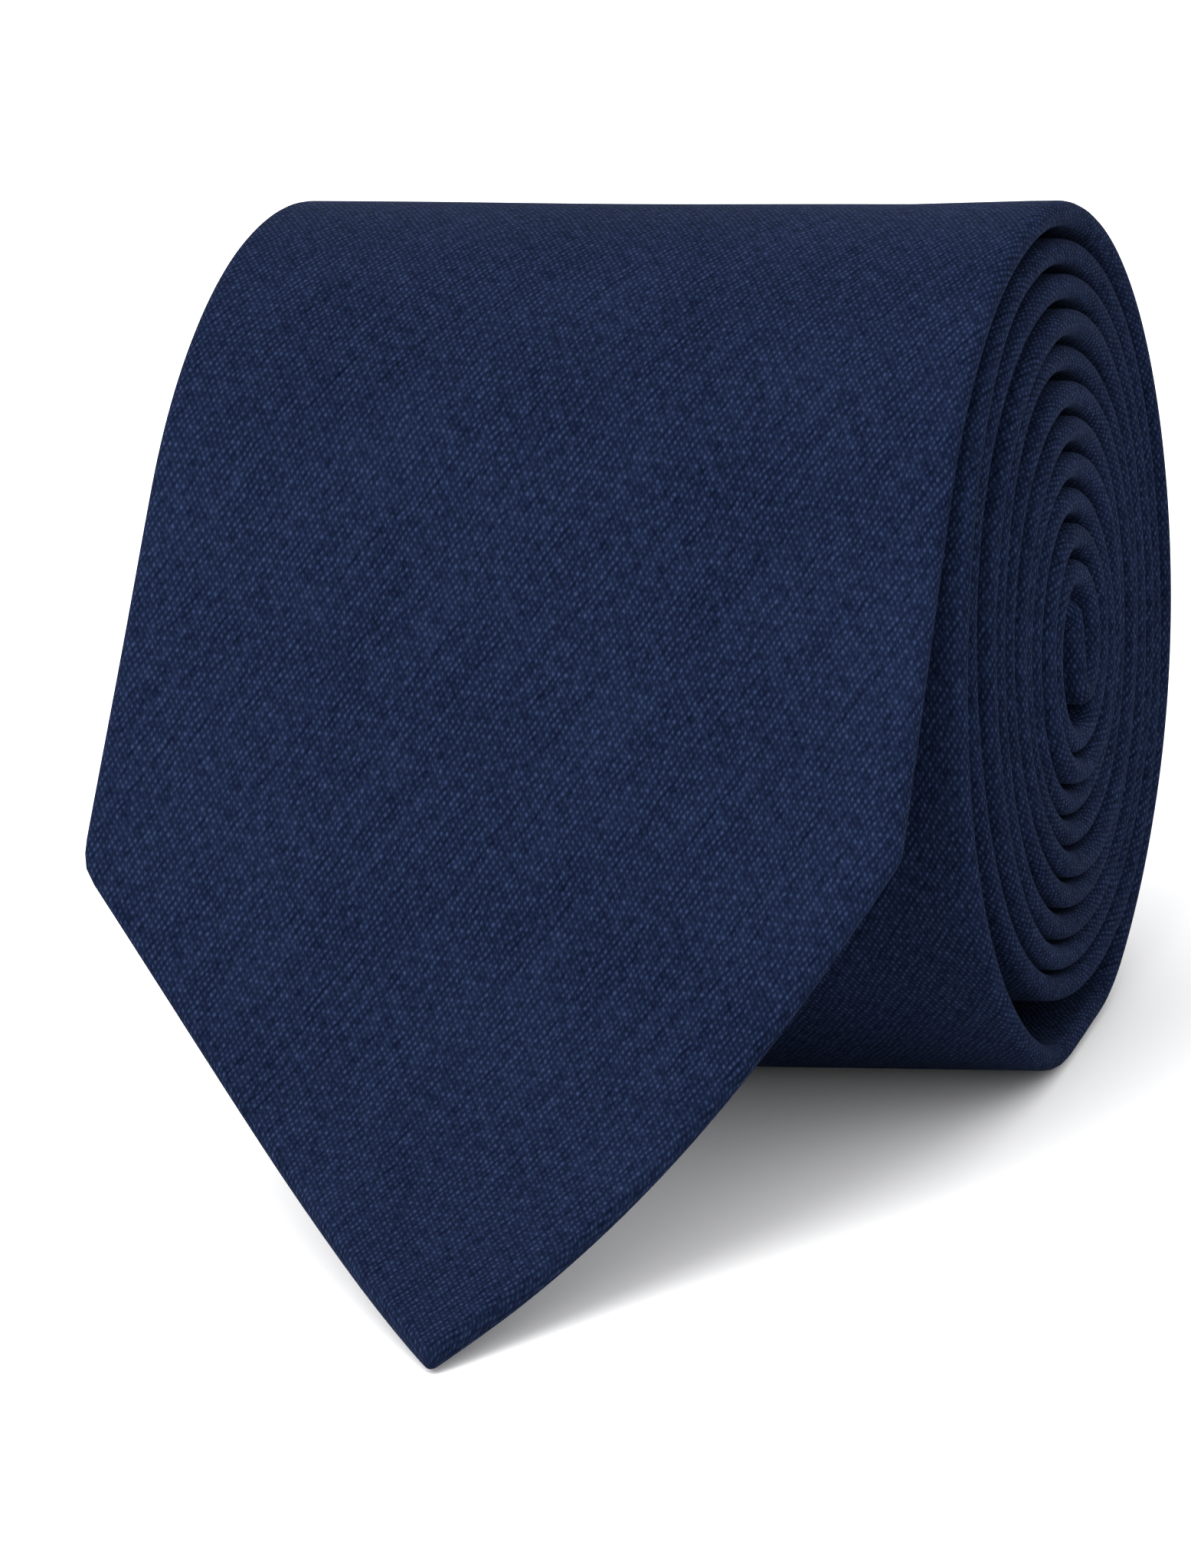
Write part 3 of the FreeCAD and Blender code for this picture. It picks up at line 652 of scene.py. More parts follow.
class NodeDesk:
    """A small helper that adds and joins shader nodes."""

    def __init__(self, name: str) -> None:
        """Start a material with an empty Principled surface."""
        self.material = bpy.data.materials.new(name)
        self.material.use_nodes = True
        self.tree = self.material.node_tree
        self.surface = self.tree.nodes["Principled BSDF"]

    def node(self, kind: str, **settings: object) -> bpy.types.Node:
        """Add a node with the given settings."""
        made = self.tree.nodes.new(kind)
        for key, value in settings.items():
            setattr(made, key, value)
        return made

    def join(self, source: object, target: bpy.types.NodeSocket) -> None:
        """Link a socket, or set a plain value."""
        if isinstance(source, bpy.types.NodeSocket):
            self.tree.links.new(source, target)
        else:
            target.default_value = source

    def math(self, operation: str, *values: object) -> bpy.types.NodeSocket:
        """Result of a Math node."""
        made = self.node("ShaderNodeMath", operation=operation)
        for socket, value in zip(made.inputs, values):
            self.join(value, socket)
        return made.outputs[0]

    def dot(self, vector: object, axis: Sequence[float]) -> bpy.types.NodeSocket:
        """How far a point lies along an axis."""
        made = self.node("ShaderNodeVectorMath", operation="DOT_PRODUCT")
        self.join(vector, made.inputs[0])
        made.inputs[1].default_value = (*axis, 0.0)[:3]
        return made.outputs["Value"]

    def cloth_point(self) -> bpy.types.NodeSocket:
        """Place on the flat cloth, in millimetres."""
        return self.node("ShaderNodeUVMap", uv_map="cloth").outputs["UV"]

    def object_point(self) -> bpy.types.NodeSocket:
        """Place in the object's own space, in metres."""
        return self.node("ShaderNodeTexCoord").outputs["Object"]

    def noise(self, vector: object, scale: float, detail: float = 2.0,
              roughness: float = 0.5) -> bpy.types.NodeSocket:
        """Factor of a noise texture."""
        made = self.node("ShaderNodeTexNoise")
        self.join(vector, made.inputs["Vector"])
        made.inputs["Scale"].default_value = scale
        made.inputs["Detail"].default_value = detail
        made.inputs["Roughness"].default_value = roughness
        return made.outputs[0]

    def streaks(self, vector: object, yarn: Sequence[float], sizes: tuple[float, float],
                detail: float) -> bpy.types.NodeSocket:
        """Noise stretched along the yarns, given which way is across them."""
        length = math.hypot(*yarn)
        across = (yarn[0] / length, yarn[1] / length)
        along = (-across[1], across[0])
        made = self.node("ShaderNodeCombineXYZ")
        self.join(self.math("DIVIDE", self.dot(vector, across), sizes[0]), made.inputs[0])
        self.join(self.math("DIVIDE", self.dot(vector, along), sizes[1]), made.inputs[1])
        return self.noise(made.outputs[0], 1.0, detail)

    def spread(self, value: object, low: float, high: float, new_low: float,
               new_high: float) -> bpy.types.NodeSocket:
        """Value carried from one range to another and held to it."""
        made = self.node("ShaderNodeMapRange")
        for socket, item in zip(made.inputs, (value, low, high, new_low, new_high)):
            self.join(item, socket)
        return made.outputs[0]

    def ramp(self, value: object,
             stops: Sequence[tuple[float, tuple[float, float, float]]]) -> bpy.types.NodeSocket:
        """Colour of a value."""
        made = self.node("ShaderNodeValToRGB")
        self.join(value, made.inputs[0])
        points = made.color_ramp.elements
        while len(points) < len(stops):
            points.new(0.5)
        for point, (place, colour) in zip(points, stops):
            point.position = place
            point.color = (*colour, 1.0)
        return made.outputs[0]

    def relief(self, height: object, strength: float, depth: float) -> None:
        """Raise the surface by a height."""
        made = self.node("ShaderNodeBump")
        made.inputs["Strength"].default_value = strength
        made.inputs["Distance"].default_value = depth
        self.join(height, made.inputs["Height"])
        self.join(made.outputs[0], self.surface.inputs["Normal"])

    def coat(self, colour: object, roughness: object, specular: float = 0.5) -> None:
        """Colour and shine of the surface."""
        self.join(colour, self.surface.inputs["Base Color"])
        self.join(roughness, self.surface.inputs["Roughness"])
        self.surface.inputs["Specular IOR Level"].default_value = specular

    def sheen(self, weight: float, roughness: float,
              tint: tuple[float, float, float]) -> None:
        """Soft glow of loose fibres at a glancing view."""
        self.surface.inputs["Sheen Weight"].default_value = weight
        self.surface.inputs["Sheen Roughness"].default_value = roughness
        self.surface.inputs["Sheen Tint"].default_value = (*tint, 1.0)


@dataclass(frozen=True)
class BiasWeave:
    """Matt navy cloth: a plain weave cut on the bias, with slubs in both yarns.

    A yarn's count is how many of them pass in a millimetre across and along the strip.
    """

    name: str = "bias_weave"
    first_yarn: tuple = (1.980, 1.118)
    second_yarn: tuple = (1.684, -1.118)
    # Weave colours: the hollow colour is painted shade between the yarns, the body colour is
    # the cloth's own navy, and the crest colour is painted light on the yarn tops.
    shaded_hollow: tuple = (0.0013, 0.0028, 0.0088)
    body: tuple = (0.0062, 0.0106, 0.0290)
    lit_crest: tuple = (0.0185, 0.0305, 0.0720)
    rough: float = 0.90
    tone_gain: float = 0.68
    tone_base: float = 0.11
    grain_size: tuple = (0.34, 1.1)
    first_slub: tuple = (0.55, 9.0)
    second_slub: tuple = (0.6, 16.0)

    def build(self) -> bpy.types.Material:
        """Make the material."""
        desk = NodeDesk(self.name)
        cloth = desk.cloth_point()
        sway = desk.math("MULTIPLY", desk.math("SUBTRACT", desk.noise(cloth, 0.35), 0.5), 1.5)
        waves = []
        for yarn in (self.first_yarn, self.second_yarn):
            turns = desk.math("ADD", desk.dot(cloth, yarn), sway)
            waves.append(desk.math("MULTIPLY", turns, 2 * math.pi))
        knots = desk.math("MULTIPLY", *(self._crown(desk, wave) for wave in waves))
        relief = desk.math("ADD", desk.math("MULTIPLY", knots, 0.75),
                           desk.math("MULTIPLY", self._interlace(desk, waves), 0.25))
        slubs = desk.math("MULTIPLY_ADD",
                          desk.streaks(cloth, self.first_yarn, self.first_slub, 2.0), 0.4,
                          desk.math("MULTIPLY", desk.streaks(cloth, self.second_yarn,
                                                             self.second_slub, 2.0), 0.6))
        grain = desk.streaks(cloth, self.second_yarn, self.grain_size, 1.0)
        clouds = desk.noise(cloth, 0.045, 3.0)
        # The tone follows the weave's relief, so the ramp below paints shade into the hollows
        # and light onto the crests, on top of the yarns' own pattern, slubs and grain.
        tone = desk.math("MULTIPLY_ADD", relief, self.tone_gain, self.tone_base)
        tone = desk.math("MULTIPLY", tone, desk.spread(grain, 0.3, 0.7, 0.50, 1.50))
        tone = desk.math("ADD", tone, desk.spread(slubs, 0.35, 0.70, -0.09, 0.12))
        tone = desk.math("ADD", tone, desk.spread(clouds, 0.3, 0.7, -0.05, 0.05))
        desk.coat(desk.ramp(tone, ((0.0, self.shaded_hollow), (0.36, self.body), (1.0, self.lit_crest))),
                  desk.spread(relief, 0.0, 1.0, self.rough + 0.08, self.rough - 0.10), 0.01)
        desk.relief(desk.math("ADD", relief, desk.math("MULTIPLY", slubs, 0.3)), 0.45, 0.00014)
        desk.sheen(0.01, 0.45, (0.40, 0.55, 0.90))
        return desk.material

    def _crown(self, desk: NodeDesk, wave: object) -> bpy.types.NodeSocket:
        """Rounded profile of one set of yarns, from 0 to 1."""
        return desk.math("MULTIPLY_ADD", desk.math("COSINE", wave), 0.5, 0.5)

    def _interlace(self, desk: NodeDesk, waves: list) -> bpy.types.NodeSocket:
        """Chequer of one yarn over and the next one under, from 0 to 1."""
        half = [desk.math("COSINE", desk.math("MULTIPLY", wave, 0.5)) for wave in waves]
        return desk.math("MULTIPLY_ADD", desk.math("MULTIPLY", *half), 0.5, 0.5)


@dataclass(frozen=True)
class BrushedWool:
    """Off-white interlining: a loose plain weave with a brushed nap."""

    name: str = "brushed_wool"
    dark: tuple = (0.30, 0.28, 0.23)
    light: tuple = (0.52, 0.50, 0.44)

    def build(self) -> bpy.types.Material:
        """Make the material."""
        desk = NodeDesk(self.name)
        cloth = desk.cloth_point()
        first = desk.math("SINE", desk.dot(cloth, (4.4, 4.4)))
        second = desk.math("SINE", desk.dot(cloth, (4.4, -4.4)))
        weave = desk.math("MULTIPLY_ADD", desk.math("MULTIPLY", first, second), 0.25, 0.5)
        nap = desk.noise(cloth, 1.4, 4.0, 0.65)
        tone = desk.math("ADD", desk.math("MULTIPLY", weave, 0.5),
                         desk.math("MULTIPLY", nap, 0.5))
        desk.coat(desk.ramp(tone, ((0.25, self.dark), (0.7, self.light))),
                  desk.spread(nap, 0.2, 0.8, 0.85, 1.0))
        desk.relief(tone, 0.7, 0.0003)
        desk.sheen(0.35, 0.6, (1.0, 0.97, 0.9))
        return desk.material


@dataclass(frozen=True)
class SatinLining:
    """Smooth navy lining with a soft shine and faint ribs."""

    name: str = "satin_lining"
    dark: tuple = (0.0030, 0.0065, 0.0200)
    light: tuple = (0.0085, 0.0160, 0.0460)

    def build(self) -> bpy.types.Material:
        """Make the material."""
        desk = NodeDesk(self.name)
        cloth = desk.cloth_point()
        ribs = desk.math("SINE", desk.dot(cloth, (18.0, 18.0)))
        streaks = desk.streaks(cloth, (1.0, 1.0), (0.5, 12.0), 2.0)
        tone = desk.math("MULTIPLY_ADD", ribs, 0.12, streaks)
        desk.coat(desk.ramp(tone, ((0.25, self.dark), (0.8, self.light))),
                  desk.spread(streaks, 0.2, 0.8, 0.42, 0.58), 0.12)
        desk.relief(tone, 0.25, 0.00008)
        desk.sheen(0.01, 0.3, (0.5, 0.6, 1.0))
        return desk.material


@dataclass(frozen=True)
class TwistedThread:
    """Navy sewing thread with a visible twist."""

    name: str = "twisted_thread"
    dark: tuple = (0.0040, 0.0085, 0.0240)
    light: tuple = (0.0230, 0.0380, 0.0900)
    twist: float = 5200.0

    def build(self) -> bpy.types.Material:
        """Make the material."""
        desk = NodeDesk(self.name)
        place = desk.object_point()
        slant = desk.dot(place, (self.twist, self.twist, self.twist * 0.6))
        plies = desk.math("MULTIPLY_ADD", desk.math("SINE", slant), 0.5, 0.5)
        fuzz = desk.noise(place, 3000.0, 2.0)
        tone = desk.math("MULTIPLY_ADD", fuzz, 0.4, desk.math("MULTIPLY", plies, 0.6))
        desk.coat(desk.ramp(tone, ((0.15, self.dark), (0.85, self.light))),
                  desk.spread(tone, 0.0, 1.0, 0.62, 0.45), 0.12)
        desk.relief(plies, 0.5, 0.00005)
        desk.sheen(0.02, 0.4, (0.5, 0.6, 1.0))
        return desk.material


@dataclass(frozen=True)
class WovenTape:
    """Blank label tape: a close satin weave, a little mottled."""

    name: str = "woven_tape"
    ground: tuple = (0.0070, 0.0110, 0.0280)
    raised: tuple = (0.0260, 0.0350, 0.0680)

    def build(self) -> bpy.types.Material:
        """Make the material."""
        desk = NodeDesk(self.name)
        cloth = desk.cloth_point()
        warp = desk.math("SINE", desk.dot(cloth, (25.0, 0.0)))
        weft = desk.math("SINE", desk.dot(cloth, (0.0, 17.0)))
        tone = desk.math("MULTIPLY_ADD", desk.math("MULTIPLY", warp, weft), 0.3, 0.5)
        mottle = desk.noise(cloth, 0.8, 3.0)
        tone = desk.math("MULTIPLY_ADD", mottle, 0.4, desk.math("MULTIPLY", tone, 0.7))
        desk.coat(desk.ramp(tone, ((0.25, self.ground), (0.85, self.raised))),
                  desk.spread(mottle, 0.2, 0.8, 0.5, 0.7), 0.12)
        desk.relief(tone, 0.4, 0.00008)
        desk.sheen(0.02, 0.4, (0.6, 0.7, 1.0))
        return desk.material


@dataclass(frozen=True)
class PaleFloor:
    """Plain pale floor with a faint mottle."""

    name: str = "pale_floor"
    low: tuple = (0.86, 0.86, 0.865)
    high: tuple = (0.90, 0.90, 0.905)

    def build(self) -> bpy.types.Material:
        """Make the material."""
        desk = NodeDesk(self.name)
        mottle = desk.noise(desk.object_point(), 3.0)
        desk.coat(desk.ramp(mottle, ((0.3, self.low), (0.7, self.high))), 0.9, 0.1)
        return desk.material


class Wardrobe:
    """The finishes of the tie, made once and shared."""

    def __init__(self) -> None:
        """Make every finish."""
        self.finishes = {
            Slot.SHELL: BiasWeave().build(),
            Slot.INTERLINING: BrushedWool().build(),
            Slot.LINING: SatinLining().build(),
            Slot.THREAD: TwistedThread().build(),
            Slot.LABEL: WovenTape().build(),
        }

    def dress(self, piece: bpy.types.Object, slot: Slot, nodes: Sequence[str]) -> None:
        """Give a piece its finish and hide the nodes that it stands for."""
        piece.data.materials.clear()
        piece.data.materials.append(self.finishes[slot])
        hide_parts(*nodes)


# ---------------------------------------------------------------------------------------
# How pieces move
# ---------------------------------------------------------------------------------------


@dataclass(frozen=True)
class Rides:
    """A piece that moves with one body."""

    body: Body

    def attach(self, piece: bpy.types.Object) -> None:
        """Fix the piece to the body."""
        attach(piece, self.body.value)


@dataclass(frozen=True)
class Bends:
    """A piece that lies across the hinge between two bodies."""

    near: Body
    far: Body
    start: tuple
    end: tuple

    def attach(self, piece: bpy.types.Object) -> None:
        """Bake the piece's place into its mesh; it is fixed to neither body and does not bend.
        """
        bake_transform(piece)


@dataclass
class Hinges:
    """Where the cloth bends, and which two bodies meet at each bend."""

    line: FoldLine
    reach: float = 14.0 * MM
    lower_cut: float = 76.0 * MM
    upper_cut: float = 136.0 * MM

    def lower(self) -> Bends:
        """The blade's point lifting from the blade."""
        at = self.line.flare_at
        return Bends(Body.BLADE, Body.POINT, self.line.point(at + self.reach),
                     self.line.point(at - self.reach))

    def upper(self) -> Bends:
        """The blade peeling off the roll."""
        at = self.line.top_at
        return Bends(Body.ROLL, Body.BLADE, self.line.point(at + self.reach),
                     self.line.point(at - self.reach))


# ---------------------------------------------------------------------------------------
# Sub-assemblies
# ---------------------------------------------------------------------------------------


@dataclass
class Shell:
    """The outer cloth: one sheet folded round the interlining, lapped down the back."""

    builder: ClothBuilder
    wall: float = 0.30 * MM
    pressed: float = 0.94
    fold_reach: float = 1.1 * MM
    face_columns: int = 26
    fold_columns: int = 10
    flap_columns: int = 9
    hem_width: float = 10.0 * MM
    tack_at: float = 113.0 * MM
    lap_over: float = 3.0 * MM
    lap_under: float = 5.0 * MM
    lap_depth: float = 0.40 * MM
    end_rounding: float = 1.3 * MM
    window_room: float = 1.0 * MM
    tack_room: float = 3.0 * MM
    widest_share: float = 0.985
    closed_run: float = 2.0 * MM
    slit: float = 0.04 * MM
    unevenness: float = 0.02
    uneven_wave: float = 7.9 * MM
    least_run: float = 0.02 * MM
    widest_fold: float = 0.9
    tightest_fold: float = 0.1
    wall_share: float = 0.4
    lap_start: float = 22.0 * MM
    lap_length: float = 20.0 * MM
    lap_x: float = -9.0 * MM
    lap_fade: float = 5.0 * MM

    def _slope(self) -> tuple[float, float]:
        """Slope of the point's sides, and length of a side for each unit along the strip."""
        outline = self.builder.outline
        slope = (outline.blade_width / 2) / outline.blade_point
        return slope, math.hypot(1.0, slope)

    def window_start(self) -> float:
        """Distance where the opening in the back of the blade begins."""
        slope, slant = self._slope()
        return self.hem_width * slant / slope + self.window_room

    def opening(self, distance: np.ndarray) -> np.ndarray:
        """Half width of the opening in the back; negative where the flaps overlap."""
        corner = self.builder.outline.blade_point
        slope, slant = self._slope()
        lower = slope * distance - self.hem_width * slant
        widest = slope * corner - self.hem_width * slant
        upper = widest * (1 - (distance - corner) / (self.tack_at - self.tack_room - corner))
        return np.minimum(np.minimum(lower, upper), widest * self.widest_share)

    def flap_ends(self, distance: np.ndarray) -> tuple[np.ndarray, np.ndarray]:
        """Where the left and the right flap end on the back."""
        opening = self.opening(distance)
        middle = self.builder.outline.middle(distance)
        near_point = distance < self.window_start() + self.closed_run
        left, right = (np.where(near_point, np.maximum(opening, self.slit),
                                np.where(opening > 0, opening, np.maximum(opening, -lap)))
                       for lap in (self.lap_under, self.lap_over))
        return middle - left, middle + right

    def half_thickness(self, distance: np.ndarray) -> np.ndarray:
        """Half the strip's thickness, rounded off at both points."""
        line = self.builder.line
        end = np.minimum(distance, line.length - distance)
        left = 1 - np.clip(end / self.end_rounding, 0, 1)
        even = self.pressed + self.unevenness * np.sin(distance / self.uneven_wave + 0.5)
        return line.thickness / 2 * even * np.sqrt(np.clip(1 - left ** 2, 0, 1))

    def _section(self, distance: np.ndarray, inset: np.ndarray
                 ) -> tuple[np.ndarray, np.ndarray]:
        """Rows of the folded sheet, an inset inside its outer face.

        Args:
            distance: distances along the strip.
            inset: how far inside the outer face, one for each row.

        Returns:
            Places across the strip and heights above its middle, row by row.
        """
        outline = self.builder.outline
        half = outline.half(distance)
        middle = outline.middle(distance)
        full = self.half_thickness(distance)
        reach = np.minimum(self.fold_reach, half * self.widest_fold)
        fold_x = np.maximum(reach - inset, reach * self.tightest_fold)
        fold_z = full - inset
        left_end, right_end = self.flap_ends(distance)
        turn = np.linspace(-math.pi / 2, math.pi / 2, self.fold_columns + 1)
        flap = np.linspace(0, 1, self.flap_columns, endpoint=False)
        face = np.linspace(0, 1, self.face_columns + 1)[1:-1]
        right_bend = middle + half - reach
        left_bend = middle - half + reach
        right_start = np.minimum(right_end, right_bend - self.least_run)
        left_start = np.maximum(left_end, left_bend + self.least_run)
        columns = []
        for share in flap:
            columns.append((right_start + (right_bend - right_start) * share, -fold_z))
        for angle in turn:
            columns.append((right_bend + fold_x * math.cos(angle), fold_z * math.sin(angle)))
        for share in face:
            columns.append((right_bend + (left_bend - right_bend) * share, fold_z))
        for angle in turn[::-1]:
            columns.append((left_bend - fold_x * math.cos(angle), fold_z * math.sin(angle)))
        for share in flap:
            x = left_bend + (left_start - left_bend) * (share + 1 / self.flap_columns)
            columns.append((x, -fold_z + self._tuck(distance, x - middle)))
        x = np.stack([c[0] for c in columns], axis=1)
        height = np.stack([c[1] for c in columns], axis=1)
        return x, height

    def _tuck(self, distance: np.ndarray, x: np.ndarray) -> np.ndarray:
        """How far the left flap dips to lie under the right one."""
        lapped = fade_in(distance, self.tack_at - self.lap_start, self.lap_length)
        across = fade_in(x, self.lap_x, self.lap_fade)
        return self.lap_depth * lapped * lapped * (3 - 2 * lapped) * across

    def _pattern(self, distance: np.ndarray, x: np.ndarray, height: np.ndarray
                 ) -> np.ndarray:
        """Place of each point on the flat cloth, in millimetres."""
        step = np.hypot(np.diff(x, axis=1), np.diff(height, axis=1))
        run = np.concatenate([np.zeros((len(x), 1)), -np.cumsum(step, axis=1)], axis=1)
        middle_column = self.flap_columns + self.fold_columns + 1 + self.face_columns // 2
        across = run - run[:, [middle_column]] + x[:, [middle_column]]
        along = np.broadcast_to(distance[:, None], across.shape)
        return np.stack([across, along], axis=-1) / MM

    def panel(self, name: str, span: tuple[float, float]) -> tuple[bpy.types.Object, float]:
        """One panel of the shell and its flat area."""
        distance = self.builder.line.stations(*span)
        full = self.half_thickness(distance)
        wall = np.minimum(self.wall, self.wall_share * full)
        outer_x, outer_z = self._section(distance, np.zeros_like(distance))
        inner_x, inner_z = self._section(distance, wall)
        outer = self.builder.place(distance, outer_x, outer_z)
        inner = self.builder.place(distance, inner_x, inner_z)
        pattern = self._pattern(distance, outer_x, outer_z)
        piece = self.builder.slab(name, outer, inner, pattern)
        width = (pattern[:, 0, 0] - pattern[:, -1, 0]) * MM
        return piece, area_of(distance, np.abs(width))


@dataclass
class Stitchery:
    """Short stitches of thread, modelled once and laid in rows."""

    builder: ClothBuilder
    radius: float = 0.13 * MM
    sides: int = 7
    crown: float = 0.7
    dive: float = 0.8
    end_size: float = 0.6
    crease_angle: float = 60.0
    thread_sides: int = 6
    thread_aside: float = 1.0 * MM
    weave_height: float = 0.06 * MM
    weave_length: float = 8.0 * MM

    def stitch(self, length: float) -> bpy.types.Object:
        """One stitch along Y: a thread that dives into the cloth at both ends."""
        deselect_all()
        bpy.ops.mesh.primitive_cylinder_add(vertices=self.sides, radius=self.radius,
                                            depth=length * self.crown, end_fill_type="NGON",
                                            rotation=(math.pi / 2, 0, 0))
        made = bpy.context.active_object
        bpy.ops.object.transform_apply(location=True, rotation=True, scale=True)
        bpy.ops.object.mode_set(mode="EDIT")
        bpy.ops.mesh.select_mode(type="FACE")
        end = length * (1 - self.crown) / 2
        for side in (-1, 1):
            self._select_end(made, side)
            bpy.ops.mesh.extrude_region_move(
                TRANSFORM_OT_translate={"value": (0, side * end, -self.radius * self.dive)})
            bpy.ops.transform.resize(value=(self.end_size,) * 3)
        bpy.ops.object.mode_set(mode="OBJECT")
        smooth(made, self.crease_angle)
        return made

    def _select_end(self, made: bpy.types.Object, side: int) -> None:
        """Select the end face of a stitch that looks along Y to one side."""
        shape = bmesh.from_edit_mesh(made.data)
        shape.faces.ensure_lookup_table()
        for face in shape.faces:
            face.select_set(face.normal.y * side > 0.9)
        shape.select_flush_mode()
        bmesh.update_edit_mesh(made.data)

    def row(self, name: str, length: float, places: Sequence[Matrix]) -> bpy.types.Object:
        """A row of equal stitches, joined into one piece."""
        pattern = self.stitch(length)
        copies = []
        for place in places:
            copy = place_in_scene(name, pattern.data.copy())
            copy.data.transform(place)
            copies.append(copy)
        bpy.data.objects.remove(pattern)
        deselect_all()
        for copy in copies:
            copy.select_set(True)
        bpy.context.view_layer.objects.active = copies[0]
        bpy.ops.object.join()
        made = bpy.context.active_object
        made.name = name
        made.data.name = name
        deselect_all()
        return made

    def long_thread(self, name: str, span: tuple[float, float], height: float
                    ) -> bpy.types.Object:
        """One thread that weaves up and down along the middle of the strip."""
        distance = self.builder.line.stations(*span)
        middle = self.builder.outline.middle(distance)[:, None] + self.thread_aside
        turns = distance / self.weave_length
        weave = height + self.weave_height * np.sin(turns * 2 * math.pi)[:, None]
        line = self.builder.place(distance, middle, weave)[:, 0]
        _, _, heading = self.builder.line.at(distance)
        up = np.stack([np.zeros_like(heading), -np.sin(heading), np.cos(heading)], axis=1)
        side = np.array([1.0, 0.0, 0.0])
        points = []
        for index in range(self.thread_sides):
            angle = 2 * math.pi * index / self.thread_sides
            points.append(line + self.radius * (math.cos(angle) * side
                                                + math.sin(angle) * up))
        rings = np.stack(points, axis=1)
        grid = np.arange(rings.shape[0] * self.thread_sides).reshape(-1, self.thread_sides)
        ahead = np.roll(grid, -1, axis=1)
        faces = np.stack([grid[:-1], ahead[:-1], ahead[1:], grid[1:]], axis=-1).reshape(-1, 4)
        caps = [grid[0, ::-1].tolist(), grid[-1].tolist()]
        mesh = bpy.data.meshes.new(name)
        mesh.from_pydata(rings.reshape(-1, 3).tolist(), [], faces.tolist() + caps)
        made = place_in_scene(name, mesh)
        self.builder.close_up(made)
        return made


@dataclass
class Layers:
    """Heights of the layers inside the strip, above and below its middle."""

    line: FoldLine
    shell: float = 0.35 * MM
    air: float = 0.05 * MM
    interlining: float = 1.10 * MM
    lining: float = 0.22 * MM
    edge_inset: float = 1.3 * MM
    lining_gap: float = 0.02 * MM
    narrowest: float = 0.3 * MM

    def interlining_heights(self) -> tuple[float, float]:
        """Outer and inner face of the interlining."""
        outer = self.line.thickness / 2 - self.shell - self.air
        return outer, outer - self.interlining

    def lining_heights(self) -> tuple[float, float]:
        """Outer and inner face of the tipping lining."""
        outer = self.interlining_heights()[1] - self.lining_gap
        return outer, outer - self.lining

    def back(self) -> float:
        """Height of the strip's back face."""
        return -self.line.thickness / 2


@dataclass
class TieMaker:
    """What every sub-assembly shares: the cloth builder, finishes, hinges and layers."""

    builder: ClothBuilder
    wardrobe: Wardrobe
    hinges: Hinges
    layers: Layers
    shell: Shell
    stitchery: Stitchery

    def inset_edges(self, inset: float
                    ) -> Callable[[np.ndarray], tuple[np.ndarray, np.ndarray]]:
        """Edges a fixed distance inside the strip's own."""
        outline = self.builder.outline

        def edges(distance: np.ndarray) -> tuple[np.ndarray, np.ndarray]:
            """Left and right edge at each distance."""
            middle = outline.middle(distance)
            half = np.maximum(outline.half(distance) - inset, self.layers.narrowest)
            return middle - half, middle + half

        return edges

    def sheet(self, made: tuple[bpy.types.Object, float], size: tuple[float, float],
              slot: Slot, nodes: Sequence[str], motion: Rides | Bends, held: Held) -> None:
        """Dress and attach a sheet of cloth, and log its size.

        Args:
            made: the finished mesh and its flat area.
            size: width and length of the flat cloth.
            slot: its material slot.
            nodes: the nodes that it stands for.
            motion: how it moves.
            held: how it is held. Not used.
        """
        piece, area = made
        self.wardrobe.dress(piece, slot, nodes)
        motion.attach(piece)
        LOG.info("%s: %.0f by %.0f mm of cloth", piece.name, size[0] / MM, size[1] / MM)

    def shell_part(self, name: str, span: tuple[float, float], nodes: Sequence[str],
                   motion: Rides | Bends, held: Held) -> None:
        """One part of the outer cloth."""
        width = 2 * self.widest(span) + self.shell.lap_over + self.shell.lap_under
        self.sheet(self.shell.panel(name, span), (width, span[1] - span[0]), Slot.SHELL,
                   nodes, motion, held)

    def interlining_part(self, name: str, span: tuple[float, float], nodes: Sequence[str],
                         motion: Rides | Bends, held: Held, columns: int) -> None:
        """One part of the interlining."""
        made = self.builder.band(name, span, self.inset_edges(self.layers.edge_inset),
                                 self.layers.interlining_heights(), columns=columns)
        self.sheet(made, (self.widest(span), span[1] - span[0]), Slot.INTERLINING, nodes,
                   motion, held)

    def thread(self, piece: bpy.types.Object, nodes: Sequence[str],
               motion: Rides | Bends) -> None:
        """Dress and attach a piece of thread."""
        self.wardrobe.dress(piece, Slot.THREAD, nodes)
        motion.attach(piece)
        LOG.info("%s: thread", piece.name)

    def widest(self, span: tuple[float, float]) -> float:
        """Greatest width of the strip over a span."""
        return 2 * float(self.builder.outline.half(self.builder.line.stations(*span)).max())


@dataclass
class BarTack:
    """Close wraps of thread side by side across the back seam."""

    maker: TieMaker
    length: float = 7.0 * MM
    wraps: int = 15
    width: float = 1.6 * MM
    stand_out: float = 0.08 * MM
    leans: tuple = (-3.0, 4.0)

    def build(self, name: str, distance: float, motion: Rides | Bends, node: str) -> None:
        """Lay the wraps at a distance along the strip."""
        maker = self.maker
        middle = maker.builder.outline.middle_at(distance)
        height = maker.layers.back() - self.stand_out
        places = []
        for index in range(self.wraps):
            share = index / (self.wraps - 1) - 0.5
            lean = Matrix.Rotation(math.radians(self.leans[index % 2]), 4, "Z")
            place = maker.builder.frame_at(distance, middle + share * self.length, height)
            places.append(place @ lean @ FACE_DOWN)
        maker.thread(maker.stitchery.row(name, self.width, places), [node], motion)


